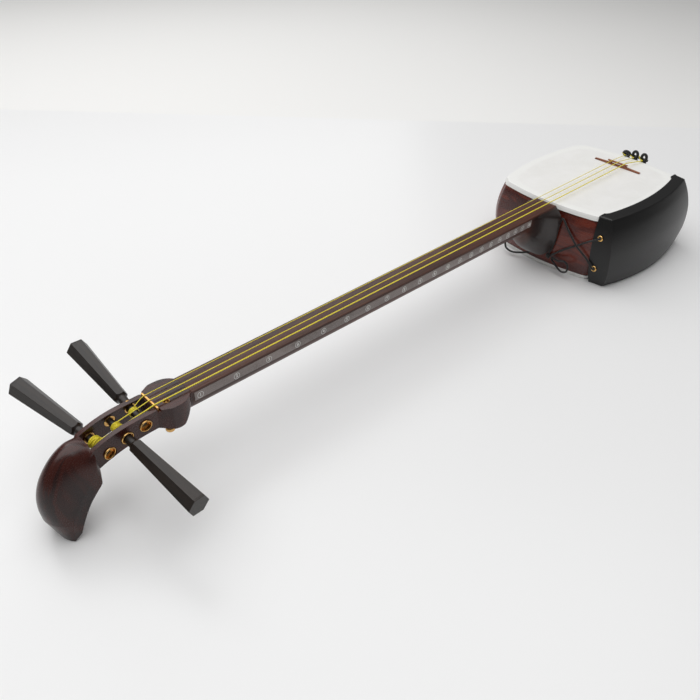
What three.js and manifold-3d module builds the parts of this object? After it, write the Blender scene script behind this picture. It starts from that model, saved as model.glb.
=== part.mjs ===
// A three-stringed long-necked lute (shamisen) lying on its back.
// Millimetres. The origin is the centre of the body's back skin, +X runs from the head to the tail,
// +Y to the side of the thinnest string and +Z out of the front skin.
import * as THREE from "three";
import { ParametricGeometry } from "three/addons/geometries/ParametricGeometry.js";
import { mergeVertices } from "three/addons/utils/BufferGeometryUtils.js";
import Module from "manifold-3d";

const wasm = await Module();
wasm.setup();

// ---- Driving dimensions ----
const GAP = 0.3; // clearance between pieces that touch

const CORNER_X = 94.5; // body corner, before the sides bow outwards
const CORNER_Y = 79;
const BOW_X = 11.3; // how far the head and tail sides bow
const BOW_Y = 11.6; // how far the two long sides bow
const DEPTH = 94;
const SWELL = 8; // how far each board swells at half depth
const CORNER_EASE = 4; // rounding of the mitred corners
const BOARD = 12; // board thickness at the rims
const SKIN = 0.8;
const SKIN_WRAP = 6; // how far each skin comes down the sides

const NUT_X = -718.8;
const NECK_TOP = 91.5; // height of the playing surface
const NECK_DEPTH = 25;
const NECK_WALL = 11; // flat part of the neck's side
const NUT_HALF = 13.9; // half width of the neck at the nut
const HEEL_HALF = 16; // and where it meets the body
const NECK_END = -(CORNER_X + BOW_X);
const NECK_START = -683; // where the head block ends
const NECK_JOINTS = [-505, -305]; // the neck comes apart here

const HEAD_HALF = 15.2; // half width of the pegbox
const SLOT_HALF = 9.7; // half width of the pegbox slot at its mouth
const SLOT_FLARE = 0.1; // how fast it widens downwards
const SLOT = [-785, -721]; // tip end and nut end of the pegbox slot

const PEG_TIP_R = 3;
const PEG_WALL_R = 4.3;
const PEG_END_R = 10.8; // centre to corner of the hexagonal end
const PEG_TIP = -12.7; // where each peg starts, from the middle of the pegbox
// Each peg: where its axis crosses the middle of the pegbox (x, and how far below the playing surface),
// its handle's side, its two angles in degrees, and how far its handle reaches from there.
const PEGS = [
  { x: -773.6, drop: 17.9, side: 1, splay: -11, lift: 6.1, reach: 109.8 },
  { x: -753.6, drop: 10.9, side: -1, splay: 4.3, lift: -7.8, reach: 112.8 },
  { x: -733.4, drop: 8.1, side: 1, splay: 1, lift: 7.2, reach: 109.8 },
];

const STRING_R = [0.65, 0.5, 0.4]; // thick, middle, thin
const STRING_Y_NUT = [-9.3, -0.8, 8.2];
const STRING_Y_BRIDGE = [-13.2, -3, 6.3];

const BRIDGE_X = 64.6;
const BRIDGE_Y = -2.4;
const BRIDGE_TOP = DEPTH + 6;
const TAIL_LOOP_X = 108.6;
const TAIL_LOOP_Y = [-19.4, -5, 8.6];

const SAWARI = new THREE.Vector2(-707.4, -8.8);

// ---- Geometry helpers ----
const v3 = (x, y, z) => new THREE.Vector3(x, y, z);

function signedVolume(geometry) {
  const p = geometry.getAttribute("position");
  const index = geometry.index;
  const [a, b, c] = [v3(), v3(), v3()];
  let sum = 0;
  for (let i = 0; i < index.count; i += 3) {
    a.fromBufferAttribute(p, index.getX(i));
    b.fromBufferAttribute(p, index.getX(i + 1));
    c.fromBufferAttribute(p, index.getX(i + 2));
    sum += a.dot(b.cross(c)) / 6;
  }
  return sum;
}

function welded(geometry) {
  const bare = geometry.clone();
  for (const name of ["normal", "uv"]) bare.deleteAttribute(name);
  return mergeVertices(bare, 1e-4);
}

// A closed surface through rings of points, with a fan at each end.
function loft(rings) {
  const centre = (ring) => ring.reduce((s, p) => s.add(p), v3(0, 0, 0)).divideScalar(ring.length);
  const rows = [rings[0].map(() => centre(rings[0])), ...rings];
  rows.push(rings[0].map(() => centre(rings[rings.length - 1])));
  const columns = rings[0].length;
  const build = (turn) =>
    welded(
      new ParametricGeometry(
        (u, v, target) => {
          const row = rows[Math.round(v * (rows.length - 1))];
          const column = Math.round(u * columns) % columns;
          target.copy(row[turn ? (columns - column) % columns : column]);
        },
        columns,
        rows.length - 1,
      ),
    );
  const first = build(false);
  return signedVolume(first) > 0 ? first : build(true);
}

const solid = (geometry) => {
  const g = welded(geometry);
  const properties = new Float32Array(g.getAttribute("position").array);
  const triangles = new Uint32Array(g.index.array);
  return new wasm.Manifold(
    new wasm.Mesh({ numProp: 3, vertProperties: properties, triVerts: triangles }),
  );
};

function geometryOf(made) {
  const mesh = made.getMesh();
  return new THREE.BufferGeometry()
    .setAttribute("position", new THREE.BufferAttribute(mesh.vertProperties, 3))
    .setIndex(new THREE.BufferAttribute(mesh.triVerts, 1));
}

const cut = (part, ...tools) => tools.reduce((a, b) => a.subtract(solid(b)), part);

function box(x0, x1, y0, y1, z0, z1) {
  return new THREE.BoxGeometry(x1 - x0, y1 - y0, z1 - z0).translate(
    (x0 + x1) / 2,
    (y0 + y1) / 2,
    (z0 + z1) / 2,
  );
}

// An outline in X and Z, extruded evenly to both sides of Y = 0.
function sideProfile(shape, halfWidth, curveSegments = 8) {
  return new THREE.ExtrudeGeometry(shape, {
    depth: 2 * halfWidth,
    bevelEnabled: false,
    curveSegments,
  })
    .rotateX(Math.PI / 2)
    .translate(0, halfWidth, 0);
}

// An outline in X and Y, extruded upwards from z0 to z1.
function planProfile(shape, z0, z1, curveSegments = 8) {
  return new THREE.ExtrudeGeometry(shape, {
    depth: z1 - z0,
    bevelEnabled: false,
    curveSegments,
  }).translate(0, 0, z0);
}

// A turned piece: profile points are (radius, distance along the axis) from start towards direction.
function turned(profile, start, direction, segments) {
  const points = profile.map(([r, along]) => new THREE.Vector2(r, along));
  const turn = new THREE.Quaternion().setFromUnitVectors(v3(0, 1, 0), direction);
  return new THREE.LatheGeometry(points, segments)
    .applyQuaternion(turn)
    .translate(start.x, start.y, start.z);
}

// A curve that is stepped evenly in its parameter, so that every point given is met.
class Route extends THREE.CatmullRomCurve3 {
  getPointAt(u, target) {
    return this.getPoint(u, target);
  }
  getTangentAt(u, target) {
    return this.getTangent(u, target);
  }
  getSpacedPoints(divisions) {
    return this.getPoints(divisions);
  }
}

function cord(points, radius, stepsPerPoint = 1, sides = 8) {
  const route = new Route(points, false, "centripetal");
  const steps = (points.length - 1) * stepsPerPoint;
  const section = new THREE.Shape();
  section.absarc(0, 0, radius, 0, 2 * Math.PI);
  return new THREE.ExtrudeGeometry(section, {
    steps,
    extrudePath: route,
    curveSegments: sides / 2,
    bevelEnabled: false,
  });
}

// ---- Materials ----
const material = (color, roughness, metalness = 0) =>
  new THREE.MeshStandardMaterial({ color, roughness, metalness });
const rosewood = material(0x3a1a14, 0.35);
const neckWood = material(0x46261c, 0.4);
const ebony = material(0x1f1917, 0.4);
const karin = material(0x6b2416, 0.15);
const skinWhite = material(0xf3f2ee, 0.45);
const lacquer = material(0x111111, 0.3);
const brass = material(0xd9a441, 0.25, 1);
const cordBlack = material(0x0c0c0c, 0.8);
const silkYellow = material(0xe8d22a, 0.5);
const bamboo = material(0xb07a52, 0.5);
const film = material(0x5a4a48, 0.5);
const innerWood = material(0xa8754a, 0.6);

const instrument = new THREE.Group();
instrument.name = "shamisen";

function add(name, geometry, look) {
  const mesh = new THREE.Mesh(geometry, look);
  mesh.name = name;
  instrument.add(mesh);
}

// ---- Body: four swelling boards under two skins ----
const swell = (z) => SWELL * (1 - ((z - DEPTH / 2) / (DEPTH / 2)) ** 2);

// A point on one of the four sides, in the order tail, far, head, near. u runs from corner to corner.
function sidePoint(side, u, offset, z) {
  const ease = CORNER_EASE * Math.max(0, (Math.abs(u) - 0.86) / 0.14) ** 2;
  const long = side % 2 === 0;
  const out = (long ? CORNER_X : CORNER_Y) + (long ? BOW_X : BOW_Y) * (1 - u * u) + offset - ease;
  const along = u * ((long ? CORNER_Y : CORNER_X) + offset - ease);
  return v3(out, along, z).applyAxisAngle(v3(0, 0, 1), (side * Math.PI) / 2);
}

const SIDE_STEPS = [-1, -0.95, -0.86, -0.66, -0.36, 0, 0.36, 0.66, 0.86, 0.95];

function outlineRing(offset, z) {
  return [0, 1, 2, 3].flatMap((side) => SIDE_STEPS.map((u) => sidePoint(side, u, offset, z)));
}

function bodyEnvelope(offset, z0, z1) {
  const levels = [0, 0.17, 0.38, 0.62, 0.83, 1].map((t) => z0 + (z1 - z0) * t);
  return loft(levels.map((z) => outlineRing(offset + swell(z), z)));
}

const BOARD_TOP = DEPTH - SKIN - GAP;
const BOARD_BOTTOM = SKIN + GAP;

function board(side) {
  const heights = [0, 0.17, 0.38, 0.62, 0.83, 1].map(
    (t) => BOARD_BOTTOM + (BOARD_TOP - BOARD_BOTTOM) * t,
  );
  const mitre = 0.998; // leaves the gap at the mitred corners
  return loft(
    [...SIDE_STEPS, 1].map((u) => [
      ...heights.map((z) => sidePoint(side, u * mitre, swell(z), z)),
      sidePoint(side, u * mitre, -BOARD, BOARD_TOP),
      sidePoint(side, u * mitre, -BOARD, BOARD_BOTTOM),
    ]),
  );
}

const TENON = { x0: -128, x1: 127, half: 8.5, z0: 48.5, z1: 74.5 };
const tenonHole = box(-140, 140, -TENON.half - GAP, TENON.half + GAP, TENON.z0 - GAP, TENON.z1 + GAP);

add("body_board_tail", geometryOf(cut(solid(board(0)), tenonHole)), karin);
add("body_board_far", board(1), karin);
add("body_board_head", geometryOf(cut(solid(board(2)), tenonHole)), karin);
add("body_board_near", board(3), karin);

// Each skin is a thin sheet folded over the rim. flip mirrors it onto the back.
function skin(flip) {
  const height = (z) => (flip ? DEPTH - z : z);
  const edge = DEPTH - SKIN_WRAP;
  const profile = [
    [-0.6, DEPTH],
    [GAP + 0.3, DEPTH - 0.15],
    [GAP + SKIN, DEPTH - 1],
    [swell(edge) + GAP + SKIN, edge],
    [swell(edge) + GAP, edge],
    [GAP, DEPTH - SKIN],
  ];
  return loft(profile.map(([offset, z]) => outlineRing(offset, height(z))));
}

add("front_skin", skin(false), skinWhite);
add("back_skin", skin(true), skinWhite);

// ---- Neck ----
const neckHalf = (x) =>
  THREE.MathUtils.mapLinear(x, NUT_X, NECK_END, NUT_HALF, HEEL_HALF);

// A ring of the neck at one station: flat top, a side that may flare, and a rounded underside.
// flare is how far the side stands out past the top edge; wall is where the rounding starts.
function neckRing(x, half, depth, wall, flare = 0) {
  const open = flare / HEEL_FLARE;
  const side = [
    [half, 0],
    [half + 0.3 * flare, 3],
    [half + 0.82 * flare, 5 + 3.5 * open],
    [half + 0.97 * flare, 8 + 10.5 * open],
  ];
  const steps = 8;
  for (let i = 0; i <= steps / 2; i++) {
    const angle = (Math.PI * i) / steps;
    side.push([(half + flare) * Math.cos(angle), wall + (depth - wall) * Math.sin(angle)]);
  }
  const right = side.map(([y, drop]) => v3(x, y, NECK_TOP - drop));
  const left = side.slice(0, -1).map(([y, drop]) => v3(x, -y, NECK_TOP - drop));
  return [...right, ...left.reverse()];
}

const HEEL_FLARE = 15.5; // how far each side of the heel flares at the body
const plainRing = (x) => neckRing(x, neckHalf(x), NECK_DEPTH, NECK_WALL);

// Socket and tongue where two lengths of the neck meet.
const TONGUE = { length: 24, half: 6, z0: NECK_TOP - 19, z1: NECK_TOP - 6 };
const tongue = (x, slack) =>
  box(
    x - TONGUE.length - slack,
    x + 1,
    -TONGUE.half - slack,
    TONGUE.half + slack,
    TONGUE.z0 - slack,
    TONGUE.z1 + slack,
  );

const neckUpper = solid(loft([NECK_START + GAP, NECK_JOINTS[0]].map(plainRing)));
const neckMiddle = solid(loft([NECK_JOINTS[0] + GAP, NECK_JOINTS[1]].map(plainRing)));

// The heel grows out of the neck's underside and flares where it meets the body:
// X, how deep it is below the playing surface, and its flare.
const heelStations = [
  [-181, NECK_DEPTH, 0],
  [-174, 27, 0],
  [-167, 36, 0],
  [-157, 48, 0.5],
  [-145, 57.5, 2.2],
  [-132, 66, 6.5],
  [-121, 72.5, 12],
  [-113, 77.5, HEEL_FLARE],
  [-96, 82, 17],
];
const heelWall = (depth) => NECK_WALL + (depth - NECK_DEPTH) * 0.47;
const heelRing = (inset) => ([x, depth, flare]) =>
  neckRing(x, neckHalf(x), depth - inset, heelWall(depth - inset), Math.max(0, flare - inset));
const tenon = (slack) =>
  box(
    TENON.x0 - slack,
    TENON.x1,
    -TENON.half - slack,
    TENON.half + slack,
    TENON.z0 - slack,
    TENON.z1 + slack,
  );
const bodySpace = bodyEnvelope(GAP + SKIN + 0.5, -1, DEPTH + 1);
const neckLower = solid(loft([plainRing(NECK_JOINTS[1] + GAP), ...heelStations.map(heelRing(0))]));

// A groove between the flared heel and the body, where the cover's lacing goes round the heel.
const GROOVE = { width: 4.6, depth: 5.4 };
const groove = solid(bodyEnvelope(GROOVE.width, -1, DEPTH + 1)).subtract(
  solid(loft(heelStations.slice(3).map(heelRing(GROOVE.depth)))),
).subtract(solid(box(-160, 0, -HEEL_HALF - 1, HEEL_HALF + 1, NECK_TOP - 9, NECK_TOP + 9)));

add("neck_upper", geometryOf(cut(neckUpper, tongue(NECK_JOINTS[0] + GAP, GAP))), neckWood);
add(
  "neck_middle",
  geometryOf(
    cut(neckMiddle.add(solid(tongue(NECK_JOINTS[0] + GAP, 0))), tongue(NECK_JOINTS[1] + GAP, GAP)),
  ),
  neckWood,
);
add(
  "neck_lower_heel",
  geometryOf(
    cut(neckLower.add(solid(tongue(NECK_JOINTS[1] + GAP, 0))).subtract(groove), bodySpace, tenon(GAP)),
  ),
  neckWood,
);
add("neck_tenon_shaft", tenon(0), innerWood);

// A thin film with the finger positions, along the near side of the neck.
const FILM = { x0: -681, x1: -162, thick: 0.3, drop: 2.4, height: 9.2 };
add(
  "position_strip",
  loft(
    [FILM.x0, FILM.x1].map((x) => {
      const y = -neckHalf(x) - GAP;
      const z = NECK_TOP - FILM.drop;
      return [
        v3(x, y, z),
        v3(x, y, z - FILM.height),
        v3(x, y - FILM.thick, z - FILM.height),
        v3(x, y - FILM.thick, z),
      ];
    }),
  ),
  film,
);

// ---- Head: pegbox, lobes below the nut and the curled finial, in one piece ----
const below = (drop) => NECK_TOP - drop;

const pegboxShape = new THREE.Shape();
pegboxShape.moveTo(NECK_START, NECK_TOP);
pegboxShape.lineTo(-742, NECK_TOP);
pegboxShape.quadraticCurveTo(-766, below(0.4), -786, below(9));
pegboxShape.lineTo(-790, below(15));
pegboxShape.lineTo(-787, below(30));
pegboxShape.lineTo(-782, below(30.3));
pegboxShape.quadraticCurveTo(-757, below(20.1), -722, below(20.1));
pegboxShape.lineTo(-700, below(24));
pegboxShape.lineTo(NECK_START, below(NECK_DEPTH));

const lobeShape = new THREE.Shape();
lobeShape.moveTo(-721, -HEAD_HALF);
lobeShape.lineTo(-708.5, -21.7);
lobeShape.bezierCurveTo(-702, -22.4, -690.5, -22.6, -685, -neckHalf(NECK_START));
lobeShape.lineTo(-685, neckHalf(NECK_START));
lobeShape.bezierCurveTo(-690.5, 22.6, -702, 22.4, -708.5, 21.7);
lobeShape.lineTo(-721, HEAD_HALF);

const lobeSide = new THREE.Shape();
lobeSide.moveTo(-721.5, NECK_TOP);
lobeSide.lineTo(-721.5, below(20.3));
lobeSide.lineTo(-712, below(23.7));
lobeSide.quadraticCurveTo(-702, below(27.4), -697, below(24.6));
lobeSide.quadraticCurveTo(-690, below(17), -685, below(6));
lobeSide.lineTo(-685, NECK_TOP);

// Finial stations: the front's crest, then the flat flank's front and back edges (each X and the
// height above the ground that the instrument lies on), and the half width.
const finialStations = [
  [-785, 85.5, -784.5, 78, -783, 60.6, 17],
  [-790.5, 88, -787, 68, -784.5, 55, 20],
  [-800.5, 89, -792, 60, -785.5, 49.5, 21],
  [-812.5, 83.5, -799.5, 51, -791.5, 43, 21.3],
  [-823, 73.5, -806, 43, -798.5, 35, 21.3],
  [-831, 61, -811.5, 35, -804.5, 26, 21.6],
  [-835.5, 47, -815.5, 28.5, -809, 17.5, 21.8],
  [-836.6, 34, -817.5, 24.5, -812.3, 10.5, 22],
  [-835.6, 22.5, -819, 20.5, -813.7, 7, 22],
  [-827.5, 0.4, -820.5, 0.8, -814.5, 5, 20.5],
];
const FRONT_STEPS = 10;
const CREST_K = 0.94; // how nearly the front's cross-section is a half ellipse
const SCOOP = 7; // depth of the hollow in the finial's back

function finialRing([frontX, frontZ, edgeX, edgeZ, backX, backZ, half], row, rows) {
  const crest = (s) =>
    (1 - Math.sqrt(1 - (CREST_K * s) ** 2)) / (1 - Math.sqrt(1 - CREST_K ** 2));
  const ring = [];
  for (let i = 0; i <= FRONT_STEPS; i++) {
    const s = (2 * i) / FRONT_STEPS - 1;
    const y = half * Math.sin((s * Math.PI) / 2);
    const t = crest(Math.abs(y / half));
    ring.push(v3(frontX + (edgeX - frontX) * t, y, frontZ + (edgeZ - frontZ) * t));
  }
  const inward = v3(frontX - backX, 0, frontZ - backZ).normalize();
  const depth = SCOOP * Math.sin((Math.PI * row) / (rows + 1));
  for (const s of [1, 0.6, 0.2, -0.2, -0.6, -1]) {
    const hollow = row < rows - 1 ? depth * (1 - s * s) : 0;
    ring.push(v3(backX + inward.x * hollow, half * s, backZ + inward.z * hollow));
  }
  return ring;
}

const finial = loft(
  finialStations.map((station, row) => finialRing(station, row, finialStations.length)),
);

const pegAxis = ({ side, splay, lift }) => {
  const across = THREE.MathUtils.degToRad(splay);
  const up = THREE.MathUtils.degToRad(lift);
  return v3(Math.sin(across), side * Math.cos(across), Math.sin(up)).normalize();
};
const pegCentre = ({ x, drop }) => v3(x, 0, below(drop));
const alongPeg = (peg, distance) => pegCentre(peg).addScaledVector(pegAxis(peg), distance);
const rod = (r, length) => [
  [0, 0],
  [r, 0],
  [r, length],
  [0, length],
];

const RING_R = 6.3; // outer radius of the rings round the peg holes
const RING_MOUTH = 5.2; // how wide they open outwards
const SLEEVE_R = 5.7;
const WALL_OUT = HEAD_HALF + 0.2;
const pegBores = PEGS.flatMap((peg) => [
  turned(rod(SLEEVE_R + GAP, 60), alongPeg(peg, -30), pegAxis(peg), 20),
  turned(rod(RING_R + GAP, 20), alongPeg(peg, -WALL_OUT - 19.5), pegAxis(peg), 20),
  turned(rod(RING_R + GAP, 20), alongPeg(peg, WALL_OUT - 0.5), pegAxis(peg), 20),
]);

const UP = v3(0, 0, 1);
const sawariAt = (drop) => v3(SAWARI.x, SAWARI.y, below(drop));
const sawariBore = turned(rod(3.4, 40), sawariAt(36), UP, 16);
const nutGroove = box(NUT_X - 1.5, NUT_X + 1.5, -30, 30, NECK_TOP - 2, NECK_TOP + 5);
const slotWidth = (drop) => SLOT_HALF + SLOT_FLARE * drop;
const slotCut = loft(
  [-20, 60].map((drop) => [
    v3(SLOT[0], -slotWidth(drop), below(drop)),
    v3(SLOT[1], -slotWidth(drop), below(drop)),
    v3(SLOT[1], slotWidth(drop), below(drop)),
    v3(SLOT[0], slotWidth(drop), below(drop)),
  ]),
);
const fingerRamp = box(-736, -721, -SLOT_HALF, SLOT_HALF, NECK_TOP - 4, NECK_TOP + 5);

const lobes = solid(planProfile(lobeShape, 50, NECK_TOP)).intersect(
  solid(sideProfile(lobeSide, 30)),
);
const pegbox = cut(solid(sideProfile(pegboxShape, HEAD_HALF)), box(-712, NECK_START + 1, -60, 60, 0, 120));
const neckStub = solid(loft([-712, NECK_START].map(plainRing)));
const head = cut(
  pegbox.add(neckStub).add(lobes).add(solid(finial)),
  slotCut,
  fingerRamp,
  nutGroove,
  sawariBore,
  ...pegBores,
);
add("head_pegbox_finial", geometryOf(head), rosewood);

// ---- Nut and the adjustable buzz screw beside it ----
add(
  "nut",
  box(NUT_X - 1.1, NUT_X + 1.1, -NUT_HALF, NUT_HALF, NECK_TOP - 1.7, NECK_TOP + 1.7),
  brass,
);
add(
  "sawari_bushing",
  turned(
    [[2.6, 0], [3.1, 0], [3.1, 6], [3.4, 6], [3.3, 6.2], [2.9, 6.2], [2.6, 5.9], [2.6, 0]],
    sawariAt(5.9),
    UP,
    20,
  ),
  brass,
);
add(
  "sawari_pin",
  turned([[0, 0], [1.6, 0], [1.6, 24], [0.8, 25.2], [0, 25.2]], sawariAt(26.2), UP, 16),
  brass,
);
add(
  "sawari_knob",
  turned(
    [[0, 0], [3.6, 0], [4.4, 0.8], [4.4, 3.6], [3.6, 4.4], [2.2, 4.4], [2.2, 9], [0, 9]],
    sawariAt(35.6),
    UP,
    24,
  ),
  brass,
);

// ---- Pegs, their rings and their windings ----
// A peg runs from its round tip through both walls to a six-sided handle.
function pegGeometry(peg) {
  const centre = pegCentre(peg);
  const stations = [
    [PEG_TIP, PEG_TIP_R, 1],
    [18, PEG_WALL_R, 1],
    [24.5, 4.7, 1],
    [27, 6.6, 0.5],
    [29, 7.3, 0],
    [peg.reach - 1.2, PEG_END_R, 0],
    [peg.reach, PEG_END_R - 0.7, 0],
  ];
  const turn = new THREE.Quaternion().setFromUnitVectors(UP, pegAxis(peg));
  const flat = Math.cos(Math.PI / 6);
  const rings = stations.map(([along, radius, round]) => {
    const ring = [];
    for (let i = 0; i < 12; i++) {
      const angle = (i * Math.PI) / 6;
      const hexagonal = i % 2 === 0 ? 1 : flat;
      const r = radius * (round + (1 - round) * hexagonal);
      ring.push(v3(r * Math.cos(angle), r * Math.sin(angle), along).applyQuaternion(turn).add(centre));
    }
    return ring;
  });
  return loft(rings);
}

const pegRadius = (distance) =>
  THREE.MathUtils.mapLinear(distance, PEG_TIP, 18, PEG_TIP_R, PEG_WALL_R);

// A ring with a sleeve in the wall. end is -1 at the peg's tip and 1 at its handle.
function pegRing(peg, end) {
  const bore = pegRadius(end * 12) + 0.35;
  const profile = [
    [bore, 0],
    [SLEEVE_R, 0],
    [SLEEVE_R, 4],
    [RING_R, 4],
    [RING_R, 4.8],
    [RING_R - 0.6, 5.4],
    [RING_MOUTH, 5.2],
    [RING_MOUTH - 0.1, 1.6],
    [bore, 1.3],
    [bore, 0],
  ];
  const start = alongPeg(peg, end * (WALL_OUT - 4.4));
  return turned(profile, start, pegAxis(peg).multiplyScalar(end), 20);
}

// Each winding: its middle and half length along Y, and its radius.
const WINDING_SIZE = [
  { y: 2.6, half: 5, r: 6.9 },
  { y: 0.4, half: 3.6, r: 5.4 },
  { y: 5.4, half: 2, r: 5 },
];

PEGS.forEach((peg, i) => {
  const name = i + 1;
  add(`peg_${name}`, pegGeometry(peg), ebony);
  add(`peg_ring_${name}_tip`, pegRing(peg, -1), brass);
  add(`peg_ring_${name}_handle`, pegRing(peg, 1), brass);
  const { y, half, r } = WINDING_SIZE[i];
  const at = y * peg.side;
  const inner = pegRadius(at + half) + GAP;
  const shoulder = Math.max(r * 0.88, inner + 0.4);
  add(
    `string_winding_${name}`,
    turned(
      [
        [inner, 0],
        [inner + 0.4, 0],
        [shoulder, half * 0.35],
        [r, half],
        [shoulder, half * 1.65],
        [inner + 0.4, half * 2],
        [inner, half * 2],
        [inner, 0],
      ],
      alongPeg(peg, at - half),
      pegAxis(peg),
      18,
    ),
    silkYellow,
  );
});

// ---- Strings: winding, nut, bridge, tail loops ----
STRING_R.forEach((radius, i) => {
  const peg = PEGS[i];
  const { y, half, r } = WINDING_SIZE[i];
  const yNut = STRING_Y_NUT[i];
  const yBridge = STRING_Y_BRIDGE[i];
  const nutTop = NECK_TOP + 1.7 + radius + 0.1;
  const bridgeTop = BRIDGE_TOP + radius + 0.2;
  const nearEnd = y - (i === 0 ? half + radius : 0);
  const wound = alongPeg(peg, nearEnd * peg.side);
  const height = i === 0 ? r * 0.85 : r;
  const leave = v3(wound.x + 1.5, wound.y, wound.z + height + radius + 0.4);
  const approach = leave.clone().lerp(v3(NUT_X - 3, yNut, nutTop - 0.6), 0.9);
  const points = [
    leave,
    approach,
    v3(NUT_X - 0.8, yNut, nutTop),
    v3(NUT_X + 3, yNut, nutTop + 0.05),
    v3(BRIDGE_X - 3, yBridge, bridgeTop),
    v3(BRIDGE_X + 0.5, yBridge, bridgeTop),
    v3(BRIDGE_X + 4, yBridge + 0.02 * i, bridgeTop - 0.2),
    v3(TAIL_LOOP_X - 5, TAIL_LOOP_Y[i], DEPTH + 2.6),
  ];
  add(`string_${i + 1}`, cord(points, radius, 2), silkYellow);
});

// ---- Bridge: a foot, two legs and a bar with string seats ----
const BRIDGE = { half: 36.5, bar: 15.8, leg: 13.5, window: 9.5, thick: 4.4 };
const barTop = BRIDGE_TOP - DEPTH - GAP;
const bridgeShape = new THREE.Shape();
bridgeShape.moveTo(-BRIDGE.half, 0);
bridgeShape.lineTo(BRIDGE.half, 0);
bridgeShape.lineTo(BRIDGE.half, 1.4);
bridgeShape.lineTo(BRIDGE.leg, 2.6);
bridgeShape.lineTo(BRIDGE.leg - 1, barTop - 1.9);
bridgeShape.lineTo(BRIDGE.bar, barTop - 1.2);
bridgeShape.lineTo(BRIDGE.bar, barTop);
bridgeShape.lineTo(-BRIDGE.bar, barTop);
bridgeShape.lineTo(-BRIDGE.bar, barTop - 1.2);
bridgeShape.lineTo(1 - BRIDGE.leg, barTop - 1.9);
bridgeShape.lineTo(-BRIDGE.leg, 2.6);
bridgeShape.lineTo(-BRIDGE.half, 1.4);
const bridgeWindow = new THREE.Path();
bridgeWindow.moveTo(-BRIDGE.window, 1.7);
bridgeWindow.lineTo(-BRIDGE.window, barTop - 1.8);
bridgeWindow.lineTo(BRIDGE.window, barTop - 1.8);
bridgeWindow.lineTo(BRIDGE.window, 1.7);
bridgeShape.holes.push(bridgeWindow);
add(
  "bridge",
  new THREE.ExtrudeGeometry(bridgeShape, { depth: BRIDGE.thick, bevelEnabled: false })
    .rotateX(Math.PI / 2)
    .rotateZ(Math.PI / 2)
    .translate(BRIDGE_X - BRIDGE.thick / 2, BRIDGE_Y, DEPTH + GAP),
  bamboo,
);

// ---- Tail cord: three loops standing on the tail edge, and a hitch round the tenon's end ----
const TAIL_CORD_R = 2.1;
// Each loop: half width, half height, and how high its middle stands above the skin.
const TAIL_LOOP = [
  { half: 3.7, tall: 4.8, up: 6.3 },
  { half: 3.7, tall: 4.8, up: 6.3 },
  { half: 4.8, tall: 2.9, up: 4 },
];
TAIL_LOOP_Y.forEach((y, i) => {
  const { half, tall, up } = TAIL_LOOP[i];
  const strand = (dy) => [
    v3(TAIL_LOOP_X + 8.8, y * 0.8 + dy, DEPTH - 10.5),
    v3(TAIL_LOOP_X + 3, y * 0.96 + dy, DEPTH - 3.5),
  ];
  const arch = [];
  for (let k = 0; k <= 8; k++) {
    const angle = THREE.MathUtils.degToRad(-50 + (280 * k) / 8);
    arch.push(v3(TAIL_LOOP_X, y + half * Math.cos(angle), DEPTH + up + tall * Math.sin(angle)));
  }
  const points = [...strand(2.4), ...arch, ...strand(-2.4).reverse()];
  add(`tail_loop_${i + 1}`, cord(points, TAIL_CORD_R, 2), cordBlack);
});
// One turn of the cord lies across behind the loops' feet.
const feet = [13, 4, -5, -14, -23].map((y) => v3(TAIL_LOOP_X + 7.4 - y * y * 0.003, y, DEPTH + 0.6));
add("tail_cord_turn", cord(feet, 1.9, 2), cordBlack);

// Points round the tenon at one station, off from its faces, starting at its near lower corner.
function roundTenon(x, off) {
  const points = [];
  const corners = [
    [-TENON.half, TENON.z0, 180],
    [TENON.half, TENON.z0, 270],
    [TENON.half, TENON.z1, 0],
    [-TENON.half, TENON.z1, 90],
  ];
  for (const [y, z, from] of corners) {
    for (const step of [0, 45, 90]) {
      const angle = THREE.MathUtils.degToRad(from + step);
      points.push(v3(x, y + off * Math.cos(angle), z + off * Math.sin(angle)));
    }
  }
  return points;
}
const HITCH_X = TENON.x1 - 3;
add(
  "tail_cord_hitch",
  cord(roundTenon(HITCH_X, TAIL_CORD_R + 0.6).slice(0, -1), TAIL_CORD_R, 2),
  cordBlack,
);

// ---- Arm cover on the near side ----
const COVER = { x: 98.8, turnIn: 3, flapY: -75, wall: 4, lip: 2.5 };
// Heights, with how far the cover's outer face stands out at its two ends, and how far it bows.
const coverProfile = [
  [0.5, 98.5, 18],
  [7, 101.8, 17.4],
  [22, 105.2, 15.6],
  [48, 105, 14.5],
  [63, 102.5, 14],
  [80, 97.5, 13.5],
  [91, 92.8, 13],
  [95, 90.8, 13],
];
const coverEnd = (z) => COVER.x + Math.max(0, swell(z));

const flapEdge = (z) => COVER.flapY - 6 * (1 - z / DEPTH); // where the flaps end, further down

function coverRing(z, reach, bow, endX) {
  const ring = [];
  const steps = 14;
  for (let i = 0; i <= steps; i++) {
    const x = (endX - COVER.turnIn) * (1 - (2 * i) / steps);
    ring.push(v3(x, -(reach + bow * (1 - (x / endX) ** 2)), z));
  }
  ring.push(v3(-endX, flapEdge(z), z), v3(endX, flapEdge(z), z));
  return ring;
}

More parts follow.
